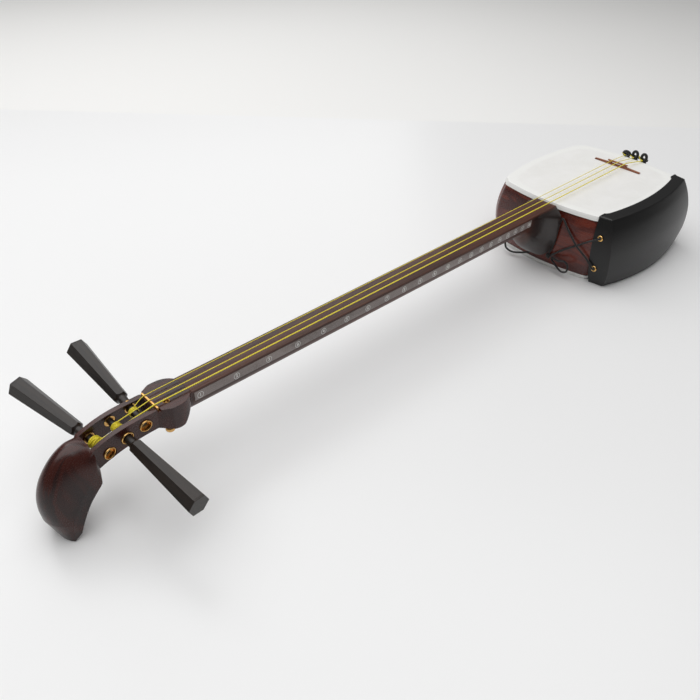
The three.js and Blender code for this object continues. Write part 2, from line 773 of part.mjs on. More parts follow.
const coverOuter = loft([
  ...coverProfile.map(([z, reach, bow]) => coverRing(z, reach, bow, coverEnd(z))),
  coverRing(DEPTH + 2.2, 79, 11, COVER.x),
]);
const coverHollow = loft(
  coverProfile
    .slice(1, -1)
    .map(([z, reach, bow]) => coverRing(z, reach - COVER.wall, bow, CORNER_X - 4)),
);
const coverSeat = bodyEnvelope(GAP + SKIN + 0.6, -1, DEPTH + GAP);
const frontOpening = loft([
  outlineRing(-COVER.lip, DEPTH - 1),
  outlineRing(-COVER.lip, DEPTH + 6),
]);
const EYELETS = [
  { z: 70, y: -86 },
  { z: 25.3, y: -87 },
];
const flapX = ({ y, z }) => coverEnd(z) - COVER.turnIn * ((COVER.flapY - y) / 29);
const eyeletHole = ({ y, z }) => turned(rod(3, 260), v3(-130, y, z), v3(1, 0, 0), 16);
const cover = cut(
  solid(coverOuter),
  coverSeat,
  frontOpening,
  coverHollow,
  ...EYELETS.map(eyeletHole),
);
add("arm_cover", geometryOf(cover), lacquer);

EYELETS.forEach((place, i) => {
  for (const end of [-1, 1]) {
    const profile = [
      [1.9, 0],
      [2.7, 0],
      [2.7, 2.2],
      [4.2, 2.2],
      [4, 2.9],
      [3, 3.3],
      [2.1, 3],
      [1.9, 2.4],
      [1.9, 0],
    ];
    const where = end < 0 ? "head" : "tail";
    add(
      `cover_eyelet_${where}_${i + 1}`,
      turned(profile, v3(end * (flapX(place) - 1.5), place.y, place.z), v3(end, 0, 0), 18),
      brass,
    );
  }
});

// ---- Lacing of the cover: round the heel with a bow at the head side, round the tenon at the tail ----
const LACE_R = 1.3;
const LACE_OFF = LACE_R + 0.6; // from the board's face to the middle of a lace lying on it
const LACE_OVER = LACE_OFF + 2 * LACE_R + 0.5; // the same where it crosses another

// A point near the head board (end -1) or the tail board (end 1), off from its outer face.
function offBoard(end, y, z, off) {
  const u = y / (CORNER_Y + swell(z));
  return v3(end * (CORNER_X + BOW_X * (1 - u * u) + swell(z) + off), y, z);
}
const throughEyelet = (end, { y, z }) => [
  v3(end * (flapX({ y, z }) - 6), y, z),
  v3(end * (flapX({ y, z }) - 1), y, z),
  v3(end * (flapX({ y, z }) + 3.2), y, z),
];

const [upperEyelet, lowerEyelet] = EYELETS;
const KNOT_R = 3.6;
const knot = offBoard(-1, -22.5, 21, KNOT_R + 0.5);
add(
  "lacing_knot",
  new THREE.SphereGeometry(KNOT_R, 12, 8).scale(1, 1.15, 0.9).translate(knot.x, knot.y, knot.z),
  cordBlack,
);
add(
  "lacing_head_upper",
  cord(
    [
      ...throughEyelet(-1, upperEyelet),
      offBoard(-1, -74, 62.5, 4.2),
      offBoard(-1, -58, 50, LACE_OFF),
      offBoard(-1, -42, 38, LACE_OFF),
      v3(knot.x - 0.6, knot.y - KNOT_R - 1.2, knot.z + 3.6),
    ],
    LACE_R,
    3,
  ),
  cordBlack,
);
add(
  "lacing_head_lower",
  cord(
    [
      ...throughEyelet(-1, lowerEyelet),
      offBoard(-1, -76, 37, 4.2),
      offBoard(-1, -60, 51.5, LACE_OVER),
      offBoard(-1, -42, 69, LACE_OFF + 1),
      offBoard(-1, -30.5, 79.5, LACE_OFF + 0.3),
      offBoard(-1, -28.6, 68, LACE_OFF + 0.3),
      offBoard(-1, -28.4, 55, LACE_OFF + 0.3),
      offBoard(-1, -27.4, 41, LACE_OFF + 0.3),
      offBoard(-1, -24.4, 31, LACE_OFF + 0.3),
      v3(knot.x + 1, knot.y + 0.6, knot.z + KNOT_R + 1.2),
    ],
    LACE_R,
    3,
  ),
  cordBlack,
);

const fromKnot = (dx, dy, dz) => knot.clone().add(v3(dx, dy, dz));
const bowLoops = {
  near: [
    fromKnot(-0.6, -5.6, -2.2),
    v3(-116.5, -38, 12.5),
    v3(-117.5, -48.5, 8.4),
    v3(-118.5, -56, 12.6),
    v3(-118, -56, 20.8),
    v3(-117, -49, 24.6),
    v3(-116.5, -39, 21),
    fromKnot(-1.2, -5.8, 0.9),
  ],
  far: [
    offBoard(-1, 9, 12.4, LACE_OFF + 0.6),
    v3(-116, 20, 8.6),
    v3(-121, 33, 6.6),
    v3(-121.5, 42.6, 9.6),
    v3(-119.5, 46, 16),
    v3(-116.5, 40, 22),
    v3(-115.5, 32, 25.4),
    offBoard(-1, 26.5, 32, LACE_OFF + 0.4),
  ],
};
for (const [where, points] of Object.entries(bowLoops)) {
  add(`lacing_bow_${where}`, cord(points, LACE_R, 3), cordBlack);
}

const TAIL_LACE_X = CORNER_X + BOW_X + swell(60) + LACE_OFF + 0.2;
const ties = roundTenon(TAIL_LACE_X, LACE_OFF);
add(
  "lacing_tail",
  cord(
    [
      ...throughEyelet(1, upperEyelet),
      offBoard(1, -74, 63, 4.2),
      offBoard(1, -50, 54, LACE_OFF),
      offBoard(1, -28, 48.5, LACE_OFF),
      ...ties.slice(1),
      offBoard(1, -22, 67, LACE_OFF + 0.3),
      offBoard(1, -44, 55.5, LACE_OVER),
      offBoard(1, -76, 34, 4.2),
      ...throughEyelet(1, lowerEyelet).reverse(),
    ],
    LACE_R,
    2,
  ),
  cordBlack,
);

export default instrument;
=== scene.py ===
# A three-stringed long-necked lute (shamisen) lying on its back: its looks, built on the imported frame.
# Shapes are written in millimetres in the frame's axes and turned into metres as the meshes are made.
import math

import bmesh
import bpy
from mathutils import Matrix, Quaternion, Vector


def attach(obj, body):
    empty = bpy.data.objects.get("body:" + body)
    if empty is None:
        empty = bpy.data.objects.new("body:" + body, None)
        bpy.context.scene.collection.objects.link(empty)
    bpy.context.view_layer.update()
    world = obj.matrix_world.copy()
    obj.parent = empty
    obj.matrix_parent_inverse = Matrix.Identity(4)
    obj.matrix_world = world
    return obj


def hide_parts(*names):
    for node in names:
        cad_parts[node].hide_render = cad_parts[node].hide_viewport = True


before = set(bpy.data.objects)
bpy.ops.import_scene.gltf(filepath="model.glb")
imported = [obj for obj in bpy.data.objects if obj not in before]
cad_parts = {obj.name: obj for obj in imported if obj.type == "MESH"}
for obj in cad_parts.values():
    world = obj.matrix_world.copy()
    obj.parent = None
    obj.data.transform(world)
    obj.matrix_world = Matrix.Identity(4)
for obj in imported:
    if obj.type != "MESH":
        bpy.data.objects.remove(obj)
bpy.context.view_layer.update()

MM = 0.001
UP = Vector((0, 0, 1))

# ---- Dimensions, as in the CAD source ----
GAP = 0.3
CORNER_X, CORNER_Y = 94.5, 79
BOW_X, BOW_Y = 11.3, 11.6
DEPTH = 94
SWELL = 8
CORNER_EASE = 4
BOARD = 12
SKIN = 0.8
SKIN_WRAP = 6

NUT_X = -718.8
NECK_TOP = 91.5
NECK_DEPTH = 25
NECK_WALL = 11
NUT_HALF, HEEL_HALF = 13.9, 16
NECK_END = -(CORNER_X + BOW_X)
NECK_START = -683
NECK_JOINTS = (-505, -305)

HEAD_HALF = 15.2
SLOT_HALF = 9.7
SLOT_FLARE = 0.1
SLOT = (-785, -721)

PEG_TIP_R, PEG_WALL_R, PEG_END_R = 3, 4.3, 10.8
PEG_TIP = -12.7
PEGS = (
    {"x": -773.6, "drop": 17.9, "side": 1, "splay": -11, "lift": 6.1, "reach": 109.8},
    {"x": -753.6, "drop": 10.9, "side": -1, "splay": 4.3, "lift": -7.8, "reach": 112.8},
    {"x": -733.4, "drop": 8.1, "side": 1, "splay": 1, "lift": 7.2, "reach": 109.8},
)
WINDINGS = (
    {"y": 2.6, "half": 5, "r": 6.9},
    {"y": 0.4, "half": 3.6, "r": 5.4},
    {"y": 5.4, "half": 2, "r": 5},
)

STRING_R = (0.65, 0.5, 0.4)
STRING_Y_NUT = (-9.3, -0.8, 8.2)
STRING_Y_BRIDGE = (-13.2, -3, 6.3)
STRING_LENGTH = 785  # what the finger positions are spaced for
BRIDGE_X, BRIDGE_Y = 64.6, -2.4
BRIDGE_TOP = DEPTH + 6
TAIL_LOOP_X = 108.6
TAIL_LOOP_Y = (-19.4, -5, 8.6)
TAIL_CORD_R = 2.1
SAWARI = Vector((-707.4, -8.8, 0))
TENON = {"x0": -128, "x1": 127, "half": 8.5, "z0": 48.5, "z1": 74.5}
LACE_R = 1.3


# ---- Camera: from above and beside the head, looking along the neck ----
def make_camera():
    data = bpy.data.cameras.new("camera")
    data.sensor_width = 36
    data.lens = 39.907
    data.clip_start, data.clip_end = 0.01, 100
    camera = bpy.data.objects.new("camera", data)
    bpy.context.scene.collection.objects.link(camera)
    camera.location = (-0.9593, -0.5037, 0.5528)
    camera.rotation_mode = "QUATERNION"
    camera.rotation_quaternion = (0.832964, 0.411604, -0.173516, -0.326565)
    bpy.context.scene.camera = camera


make_camera()
bpy.context.scene.view_settings.view_transform = "Standard"


# ---- Curves ----
def catmull(points, steps, closed=False):
    """Points along a centripetal Catmull-Rom curve that meets every point given."""
    p = [Vector(q) for q in points]
    n = len(p)
    if closed:
        spans = [(p[i - 1], p[i], p[(i + 1) % n], p[(i + 2) % n]) for i in range(n)]
    else:
        ends = [2 * p[0] - p[1], *p, 2 * p[-1] - p[-2]]
        spans = [ends[i : i + 4] for i in range(n - 1)]
    made = []
    for a, b, c, d in spans:
        dt = [max((u - v).length, 1e-9) ** 0.5 for u, v in ((a, b), (b, c), (c, d))]
        t1 = (b - a) / dt[0] - (c - a) / (dt[0] + dt[1]) + (c - b) / dt[1]
        t2 = (c - b) / dt[1] - (d - b) / (dt[1] + dt[2]) + (d - c) / dt[2]
        t1, t2 = t1 * dt[1], t2 * dt[1]
        for i in range(steps):
            t = i / steps
            made.append(b + t1 * t + (3 * (c - b) - 2 * t1 - t2) * t**2 + (2 * (b - c) + t1 + t2) * t**3)
    return made if closed else made + [p[-1]]


def spread(start, end, count):
    return [start + (end - start) * i / (count - 1) for i in range(count)]


def below(drop):
    return NECK_TOP - drop


# ---- Meshes ----
def new_object(name, mesh):
    made = bpy.data.objects.new(name, mesh)
    bpy.context.scene.collection.objects.link(made)
    return made


def from_bmesh(name, bm, sharp=35, scale=MM, outward=True):
    if outward:
        bmesh.ops.recalc_face_normals(bm, faces=bm.faces)
    bmesh.ops.scale(bm, vec=(scale,) * 3, verts=bm.verts)
    mesh = bpy.data.meshes.new(name)
    bm.to_mesh(mesh)
    bm.free()
    smooth(mesh, sharp)
    return new_object(name, mesh)


def smooth(mesh, sharp):
    mesh.shade_smooth()
    mesh.set_sharp_from_angle(angle=math.radians(sharp))


def add_grid(bm, rings, closed=False, cap=True):
    """Faces between rings of points. closed joins the last ring to the first; cap closes both ends."""
    rows = [[bm.verts.new(p) for p in ring] for ring in rings]
    columns = len(rows[0])
    count = len(rows) if closed else len(rows) - 1
    for i in range(count):
        a, b = rows[i], rows[(i + 1) % len(rows)]
        for j in range(columns):
            k = (j + 1) % columns
            bm.faces.new((a[j], a[k], b[k], b[j]))
    if cap and not closed:
        bm.faces.new(rows[0])
        bm.faces.new(rows[-1])
    return rows


def loft(name, rings, sharp=35, closed=False):
    bm = bmesh.new()
    add_grid(bm, rings, closed)
    return from_bmesh(name, bm, sharp)


def prism(name, outline, place, low, high, sharp=35):
    """A closed outline, given as pairs, swept from low to high. place(a, b, c) gives the point."""
    return loft(name, [[place(a, b, c) for a, b in outline] for c in (low, high)], sharp)


def block(name, x0, x1, y0, y1, z0, z1):
    corners = [(x0, y0), (x1, y0), (x1, y1), (x0, y1)]
    return prism(name, corners, lambda a, b, c: Vector((a, b, c)), z0, z1)


def local_frame(start, direction):
    """The matrix, in metres, that turns +Z to a direction and puts the origin at a start in mm."""
    turn = UP.rotation_difference(Vector(direction)).to_matrix().to_4x4()
    return Matrix.Translation(Vector(start) * MM) @ turn


def lathe(name, profile, start, direction, segments=56, sharp=28, ridges=None):
    """A turned piece. Profile points are (radius, distance along) and go round once, or end on the axis.
    ridges(radius, along, angle) may change the radius."""
    bm = bmesh.new()
    rows = []
    for i in range(segments):
        angle = 2 * math.pi * i / segments
        row = []
        for r, along in profile:
            out = ridges(r, along, angle) if ridges else r
            row.append(Vector((out * math.cos(angle), out * math.sin(angle), along)))
        rows.append(row)
    add_grid(bm, rows, closed=True)
    bmesh.ops.remove_doubles(bm, verts=bm.verts, dist=1e-4)
    made = from_bmesh(name, bm, sharp)
    made.matrix_world = local_frame(start, direction)
    return made


def ring_profile(points, rounding=0.12):
    """The same closed profile with each corner cut twice, so that turned pieces have soft edges."""
    made = []
    n = len(points)
    for i in range(n):
        here = Vector(points[i])
        for other in (Vector(points[i - 1]), Vector(points[(i + 1) % n])):
            reach = min(rounding, (other - here).length * 0.4)
            made.append(here + (other - here).normalized() * reach)
    return [tuple(p) for p in made]


def sweep(bm, uv, path, radius, sides, closed=False):
    """A round tube along a path. The UV map holds the turn about the path and the distance along it."""
    n = len(path)
    tangents = []
    for i in range(n):
        before = path[i - 1] if closed or i else path[0]
        after = path[(i + 1) % n] if closed or i < n - 1 else path[-1]
        tangents.append((after - before).normalized())
    normal = tangents[0].orthogonal().normalized()
    rows, along = [], [0.0]
    for i in range(n):
        if i:
            turn = tangents[i - 1].rotation_difference(tangents[i])
            normal = (turn @ normal).normalized()
            along.append(along[-1] + (path[i] - path[i - 1]).length)
        side = tangents[i].cross(normal)
        r = radius(i / (n - 1)) if callable(radius) else radius
        row = []
        for j in range(sides):
            angle = 2 * math.pi * j / sides
            row.append(bm.verts.new(path[i] + normal * r * math.cos(angle) + side * r * math.sin(angle)))
        rows.append(row)
    along.append(along[-1] + (path[0] - path[-1]).length)
    shift = 0
    if closed:  # the frame comes back turned, so the last faces join the nearest column
        first = rows[0]
        shift = min(range(sides), key=lambda s: (rows[-1][0].co - first[s].co).length)
    for i in range(n if closed else n - 1):
        last = closed and i == n - 1
        for j in range(sides):
            k = (j + 1) % sides
            here, after = rows[i], rows[(i + 1) % n]
            o = shift if last else 0
            face = bm.faces.new((here[j], here[k], after[(k + o) % sides], after[(j + o) % sides]))
            for loop, (u, v) in zip(face.loops, ((j, i), (j + 1, i), (j + 1, i + 1), (j, i + 1))):
                loop[uv].uv = (u / sides, along[v])
    if not closed:
        for row, centre in ((rows[0], path[0]), (rows[-1], path[-1])):
            tip = bm.verts.new(centre)
            for j in range(sides):
                face = bm.faces.new((row[j], row[(j + 1) % sides], tip))
                for loop in face.loops:
                    loop[uv].uv = (j / sides, 0)


def tube(name, paths, radius, sides=14, closed=False):
    bm = bmesh.new()
    uv = bm.loops.layers.uv.new("run")
    for path in paths:
        sweep(bm, uv, path, radius, sides, closed)
    return from_bmesh(name, bm, 60)


def apply_modifiers(made):
    graph = bpy.context.evaluated_depsgraph_get()
    mesh = bpy.data.meshes.new_from_object(made.evaluated_get(graph))
    made.modifiers.clear()
    made.data = mesh


def combine(made, tools, operation):
    for tool in tools:
        step = made.modifiers.new(operation.lower(), "BOOLEAN")
        step.operation, step.solver, step.object = operation, "MANIFOLD", tool
    apply_modifiers(made)
    for tool in tools:
        bpy.data.objects.remove(tool)
    return made


def cut(made, *tools):
    return combine(made, tools, "DIFFERENCE")


def soften(made, width, sharp=32, segments=2):
    """Rounds the sharp edges a little and evens the shading over the flats beside them."""
    weld = made.modifiers.new("weld", "WELD")
    weld.merge_threshold = 0.02 * MM
    bevel = made.modifiers.new("edges", "BEVEL")
    bevel.width = width * MM
    bevel.segments = segments
    bevel.limit_method = "ANGLE"
    bevel.angle_limit = math.radians(sharp)
    bevel.use_clamp_overlap = False
    bevel.miter_outer = "MITER_ARC"
    apply_modifiers(made)
    smooth(made.data, sharp)
    even = made.modifiers.new("normals", "WEIGHTED_NORMAL")
    even.keep_sharp = True
    return made


# ---- Materials ----
def tone(r, g, b):
    """A colour given as it is seen on a screen, 0 to 255, as the shader's linear colour."""
    return (*[(c / 255 / 12.92) if c < 10.3 else ((c / 255 + 0.055) / 1.055) ** 2.4 for c in (r, g, b)], 1)


class Shader:
    """A Principled material and the few kinds of node that the finishes are built from."""

    def __init__(self, name, **constants):
        self.material = bpy.data.materials.new(name)
        self.material.use_nodes = True
        self.tree = self.material.node_tree
        self.bsdf = self.tree.nodes["Principled BSDF"]
        for key, value in constants.items():
            self.bsdf.inputs[key.replace("_", " ")].default_value = value

    def node(self, kind, inputs=(), **settings):
        made = self.tree.nodes.new("ShaderNode" + kind)
        for key, value in settings.items():
            setattr(made, key, value)
        for key, value in dict(inputs).items():
            self.feed(made.inputs[key], value)
        return made

    def feed(self, socket, value):
        if isinstance(value, bpy.types.NodeSocket):
            self.tree.links.new(value, socket)
        else:
            socket.default_value = value

    def place(self, stretch=(1, 1, 1)):
        """The object's own coordinates in millimetres, squeezed along the axes given."""
        here = self.node("TexCoord").outputs["Object"]
        scale = [s / MM for s in stretch]
        return self.node("Mapping", {"Vector": here, "Scale": scale}).outputs["Vector"]

    def run(self):
        """The distance round and along a cord, from its UV map: two sockets."""
        here = self.node("UVMap", uv_map="run").outputs["UV"]
        parts = self.node("SeparateXYZ", {"Vector": here})
        return parts.outputs["X"], parts.outputs["Y"]

    def noise(self, where, scale, detail=2.0, rough=0.5, warp=0.0):
        return self.node(
            "TexNoise",
            {"Vector": where, "Scale": scale, "Detail": detail, "Roughness": rough, "Distortion": warp},
        ).outputs["Fac"]

    def maths(self, operation, a, b=0.0):
        made = self.node("Math", {0: a, 1: b}, operation=operation)
        return made.outputs["Value"]

    def remap(self, value, low, high, to_low=0.0, to_high=1.0):
        return self.node(
            "MapRange",
            {"Value": value, "From Min": low, "From Max": high, "To Min": to_low, "To Max": to_high},
            clamp=True,
        ).outputs["Result"]

    def blend(self, factor, a, b, kind="MIX"):
        made = self.node("Mix", data_type="RGBA", blend_type=kind)
        for index, value in ((0, factor), (6, a), (7, b)):
            self.feed(made.inputs[index], value)
        return made.outputs[2]

    def colour(self, value):
        self.feed(self.bsdf.inputs["Base Color"], value)

    def roughness(self, value):
        self.feed(self.bsdf.inputs["Roughness"], value)

    def bump(self, height, depth, strength=1.0):
        """Raises the surface by height, which runs from 0 to 1, times depth in millimetres."""
        made = self.node("Bump", {"Height": height, "Distance": depth * MM, "Strength": strength})
        self.feed(self.bsdf.inputs["Normal"], made.outputs["Normal"])


def wood(
    name, dark, mid, light, grain, figure, streak=0.45, pore=0.06, rough=(0.3, 0.42), bands=7,
    painted_shade_from=None, **constants
):
    """Grain runs along the axis that grain squeezes; figure is how many features there are per mm.
    Past the given X where the painted shade starts, and below the playing surface, the wood is painted
    nearly black as shade and given a glossy coat."""
    s = Shader(name, **constants)
    where = s.place(grain)
    flow = s.noise(where, figure, 4, 0.55, 0.6)
    rings = s.maths("SINE", s.maths("MULTIPLY", flow, bands * 2 * math.pi))
    rings = s.remap(rings, -1, 1)
    cloud = s.noise(where, figure * 0.45, 2, 0.5, 0.3)
    fibre = s.noise(where, 2.2, 4, 0.65)
    pores = s.remap(s.noise(where, 4.5, 2, 0.6), 0.58, 0.72)
    colour = s.blend(s.remap(cloud, 0.3, 0.72), dark, mid)
    colour = s.blend(s.maths("MULTIPLY", rings, streak), colour, light)
    colour = s.blend(s.remap(fibre, 0.35, 0.75, 0, 0.35), colour, dark)
    colour = s.blend(s.maths("MULTIPLY", pores, 0.6), colour, dark)
    if painted_shade_from is not None:
        parts = s.node("SeparateXYZ", {"Vector": s.place()}).outputs
        below_top = s.remap(parts["Z"], DEPTH - 3.1, DEPTH - 4.5)
        shade_and_coat = s.maths("MULTIPLY", s.remap(parts["X"], painted_shade_from, painted_shade_from + 12), below_top)
        # painted shade: the heel near the body is coloured nearly black
        colour = s.blend(s.maths("MULTIPLY", shade_and_coat, 0.85), colour, tone(12, 9, 8))
        s.feed(s.bsdf.inputs["Coat Weight"], s.maths("MULTIPLY", shade_and_coat, 0.6))
    s.colour(colour)
    s.roughness(s.remap(s.maths("ADD", fibre, s.maths("MULTIPLY", pores, 0.3)), 0.3, 0.9, *rough))
    s.bump(s.maths("SUBTRACT", s.maths("MULTIPLY", fibre, 0.3), pores), pore)
    return s.material


ALONG_X, ALONG_Z = (0.06, 1, 1), (1, 1, 0.05)

karin_long = wood(
    "karin_long", tone(44, 12, 8), tone(104, 32, 19), tone(138, 58, 36), (0.16, 1, 1), 0.045, 0.5, 0.02,
    (0.24, 0.34), 5, Coat_Weight=0.2, Coat_Roughness=0.08,
)
karin_cross = wood(
    "karin_cross", tone(44, 12, 8), tone(104, 32, 19), tone(138, 58, 36), (1, 0.16, 1), 0.045, 0.5, 0.02,
    (0.24, 0.34), 5, Coat_Weight=0.2, Coat_Roughness=0.08,
)
neck_wood = wood(
    "neck_wood", tone(48, 22, 14), tone(82, 42, 28), tone(104, 60, 42), ALONG_X, 0.12, 0.4, 0.03,
    (0.34, 0.46), 5,
)
# the heel's wood near the body gets painted shade, nearly black
heel_wood = wood(
    "heel_wood", tone(48, 22, 14), tone(82, 42, 28), tone(104, 60, 42), ALONG_X, 0.12, 0.4, 0.03,
    (0.34, 0.46), 5, painted_shade_from=-166, Coat_Roughness=0.1,
)
head_wood = wood(
    "head_wood", tone(30, 10, 8), tone(62, 24, 18), tone(86, 35, 24), (0.3, 1, 0.22), 0.07, 0.45, 0.02,
    (0.22, 0.34), 5,
)
peg_wood = wood(
    "peg_wood", tone(14, 9, 7), tone(34, 24, 18), tone(50, 38, 29), ALONG_Z, 0.22, 0.4, 0.03,
    (0.32, 0.42), 4,
)
inner_wood = wood(
    "inner_wood", tone(120, 82, 50), tone(166, 120, 78), tone(188, 144, 98), ALONG_X, 0.2, 0.4, 0.05,
    (0.5, 0.65), 6,
)
bamboo = wood(
    "bamboo", tone(112, 62, 40), tone(160, 98, 66), tone(182, 122, 86), (1, 0.05, 1), 0.5, 0.4, 0.04,
    (0.35, 0.5), 3, Coat_Weight=0.1,
)


def gold_finish(name, low, high, wear=0.0):
    s = Shader(name, Metallic=1.0)
    where = s.place()
    tarnish = s.noise(where, 0.35, 3)
    gold = s.blend(s.remap(tarnish, 0.35, 0.75), tone(238, 196, 128), tone(214, 158, 84))
    s.colour(s.blend(wear, gold, tone(60, 38, 22)))
    scratch = s.noise(s.place((6, 1, 1)), 1.2, 2)
    s.roughness(s.remap(scratch, 0.3, 0.8, low, high))
    s.bump(scratch, 0.01)
    return s.material


def skin_finish():
    s = Shader("skin", Coat_Weight=0.08, Coat_Roughness=0.3, Subsurface_Weight=0.0)
    where = s.place()
    mottle = s.noise(where, 0.035, 4, 0.6, 0.4)
    fine = s.noise(where, 1.6, 3, 0.6)
    inward = s.node("Attribute", attribute_name="inward").outputs["Fac"]
    wood_under = s.remap(inward, 7.5, 11.5)  # the rim is glued to the boards and looks brighter
    open_skin = s.blend(s.remap(mottle, 0.35, 0.7), tone(230, 229, 226), tone(235, 234, 232))
    s.colour(s.blend(wood_under, tone(236, 236, 233), open_skin))
    s.roughness(s.remap(fine, 0.3, 0.7, 0.42, 0.55))
    edge = s.remap(inward, 8.5, 10.5)
    s.bump(s.maths("ADD", s.maths("MULTIPLY", fine, 0.12), s.maths("MULTIPLY", edge, -0.5)), 0.12)
    return s.material


def lacquer_finish():
    s = Shader("cover_lacquer")
    where = s.place()
    cloud = s.noise(where, 0.02, 3, 0.5)
    grain = s.noise(where, 3.5, 3, 0.7)
    s.colour(s.blend(s.remap(cloud, 0.3, 0.7), tone(9, 9, 9), tone(14, 13, 13)))
    s.roughness(s.remap(grain, 0.3, 0.7, 0.3, 0.4))
    s.bump(grain, 0.012)
    return s.material


def film_finish():
    s = Shader("strip_film", Coat_Weight=0.2, Coat_Roughness=0.25)
    where = s.place((0.5, 1, 1))
    cloud = s.noise(where, 0.03, 3, 0.6)
    speck = s.noise(s.place(), 1.1, 3, 0.75)
    colour = s.blend(s.remap(cloud, 0.4, 0.6), tone(108, 96, 92), tone(138, 126, 122))
    s.colour(s.blend(s.remap(speck, 0.45, 0.62, 0, 0.6), colour, tone(164, 154, 150)))
    s.roughness(s.remap(speck, 0.3, 0.7, 0.35, 0.55))
    s.bump(speck, 0.03)
    return s.material


def label_finish():
    s = Shader("label_white")
    wear = s.noise(s.place(), 2.5, 3, 0.7)
    s.colour(s.blend(s.remap(wear, 0.5, 0.75, 0, 0.5), tone(236, 235, 232), tone(180, 174, 170)))
    s.roughness(0.6)
    return s.material


def silk_finish(name, pitch, strands, bright, deep, depth):
    """Twisted silk: the strands wind round the string once in each pitch, in mm."""
    s = Shader(name, Sheen_Weight=0.15)
    around, along = s.run()
    a = s.maths("MULTIPLY", around, strands * 2 * math.pi)
    v = s.maths("MULTIPLY", along, strands * 2 * math.pi / pitch)
    turn = s.maths("ADD", a, v)
    lay = s.remap(s.maths("SINE", turn), -1, 1)
    fuzz = s.noise(s.place(), 6, 3, 0.7)
    # painted shade: the grooves between the strands take the deep colour, the crests the bright one
    colour = s.blend(s.remap(lay, 0.05, 0.5), deep, bright)
    s.colour(s.blend(s.remap(fuzz, 0.5, 0.8, 0, 0.3), colour, deep))
    s.roughness(s.remap(fuzz, 0.3, 0.7, 0.38, 0.55))
    s.bump(s.maths("ADD", lay, s.maths("MULTIPLY", fuzz, 0.25)), depth)
    return s.material


def braid_finish(name, pitch, plaits, base, high, depth):
    """A round braid: two sets of strands cross each other, plaits each way round."""
    s = Shader(name, Sheen_Weight=0.25, Sheen_Roughness=0.5, Specular_IOR_Level=0.35)
    around, along = s.run()
    a = s.maths("MULTIPLY", around, plaits * 2 * math.pi)
    v = s.maths("MULTIPLY", along, plaits * 2 * math.pi / pitch)
    one = s.maths("SINE", s.maths("ADD", a, v))
    two = s.maths("SINE", s.maths("SUBTRACT", a, v))
    weave = s.remap(s.maths("MAXIMUM", one, two), -0.6, 1)
    fuzz = s.noise(s.place(), 5, 3, 0.75)
    # painted shade: the hollows between the plaits take the base colour, the crests the lighter one
    s.colour(s.blend(s.maths("MULTIPLY", weave, s.remap(fuzz, 0.3, 0.7, 0.6, 1)), base, high))
    s.roughness(s.remap(fuzz, 0.3, 0.7, 0.62, 0.82))
    s.bump(s.maths("ADD", weave, s.maths("MULTIPLY", fuzz, 0.3)), depth)
    return s.material


brass = gold_finish("brass", 0.16, 0.34)
pin_brass = gold_finish("pin_brass", 0.5, 0.65, 0.35)
nut_brass = gold_finish("nut_brass", 0.42, 0.58)
skin_white = skin_finish()
cover_black = lacquer_finish()
strip_film = film_finish()
label_white = label_finish()
silk = [
    silk_finish(f"silk_{i + 1}", 3.4 * r / 0.5, 2, tone(252, 238, 62), tone(214, 184, 30), 0.1)
    for i, r in enumerate(STRING_R)
]
winding_silk = silk_finish("silk_winding", 3.4, 2, tone(236, 222, 44), tone(186, 158, 20), 0.14)
lace_black = braid_finish("lace_cord", 3.2, 6, tone(9, 9, 9), tone(30, 30, 30), 0.22)
cord_black = braid_finish("tail_cord", 5.2, 6, tone(7, 7, 7), tone(26, 26, 26), 0.35)


def finish(made, body, material, slot, *nodes):
    """Gives a piece its material, its body and the CAD nodes that it stands for. The slot is not used."""
    made.data.materials.clear()
    made.data.materials.append(material)
    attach(made, body)
    if nodes:
        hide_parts(*nodes)
    return made


# ---- Cords first: the cover's lacing with its bow ----
def swell(z):
    return SWELL * (1 - ((z - DEPTH / 2) / (DEPTH / 2)) ** 2)


def off_board(end, y, z, off):
    """A point near the head board (end -1) or the tail board (end 1), off from its outer face."""
    u = y / (CORNER_Y + swell(z))
    return Vector((end * (CORNER_X + BOW_X * (1 - u * u) + swell(z) + off), y, z))


COVER = {"x": 98.8, "turn_in": 3, "turn_over": 29, "flap_y": -75, "wall": 4, "lip": 2.5}
EYELETS = ((-86, 70), (-87, 25.3))
LACE_OFF = LACE_R + 0.6
LACE_OVER = LACE_OFF + 2 * LACE_R + 0.5
KNOT_R = 3.6
knot = off_board(-1, -22.5, 21, KNOT_R + 0.5)


def cover_end(z):
    return COVER["x"] + max(0, swell(z))


def flap_x(y, z):
    return cover_end(z) - COVER["turn_in"] * (COVER["flap_y"] - y) / COVER["turn_over"]


def through_eyelet(end, y, z):
    return [Vector((end * (flap_x(y, z) + off), y, z)) for off in (-6, -1, 3.2)]


def from_knot(dx, dy, dz):
    return knot + Vector((dx, dy, dz))


BOWS = {
    "near": (
        [
            from_knot(-0.6, -5.6, -2.2),
            (-116.5, -38, 12.5),
            (-117.5, -48.5, 8.4),
            (-118.5, -56, 12.6),
            (-118, -56, 20.8),
            (-117, -49, 24.6),
            (-116.5, -39, 21),
            from_knot(-1.2, -5.8, 0.9),
        ],
        0.07,
    ),
    "far": (
        [
            off_board(-1, 9, 12.4, LACE_OFF + 0.6),
            (-116, 20, 8.6),
            (-121, 33, 6.6),
            (-121.5, 42.6, 9.6),
            (-119.5, 46, 16),
            (-116.5, 40, 22),
            (-115.5, 32, 25.4),
            off_board(-1, 26.5, 32, LACE_OFF + 0.4),
        ],
        0.071,
    ),
}
for where, (points, length) in BOWS.items():
    path = catmull(points, 6)
    bow = tube(f"lace_bow_{where}", [path], LACE_R)
    finish(bow, "root", lace_black, "lace_cord", f"lacing_bow_{where}")

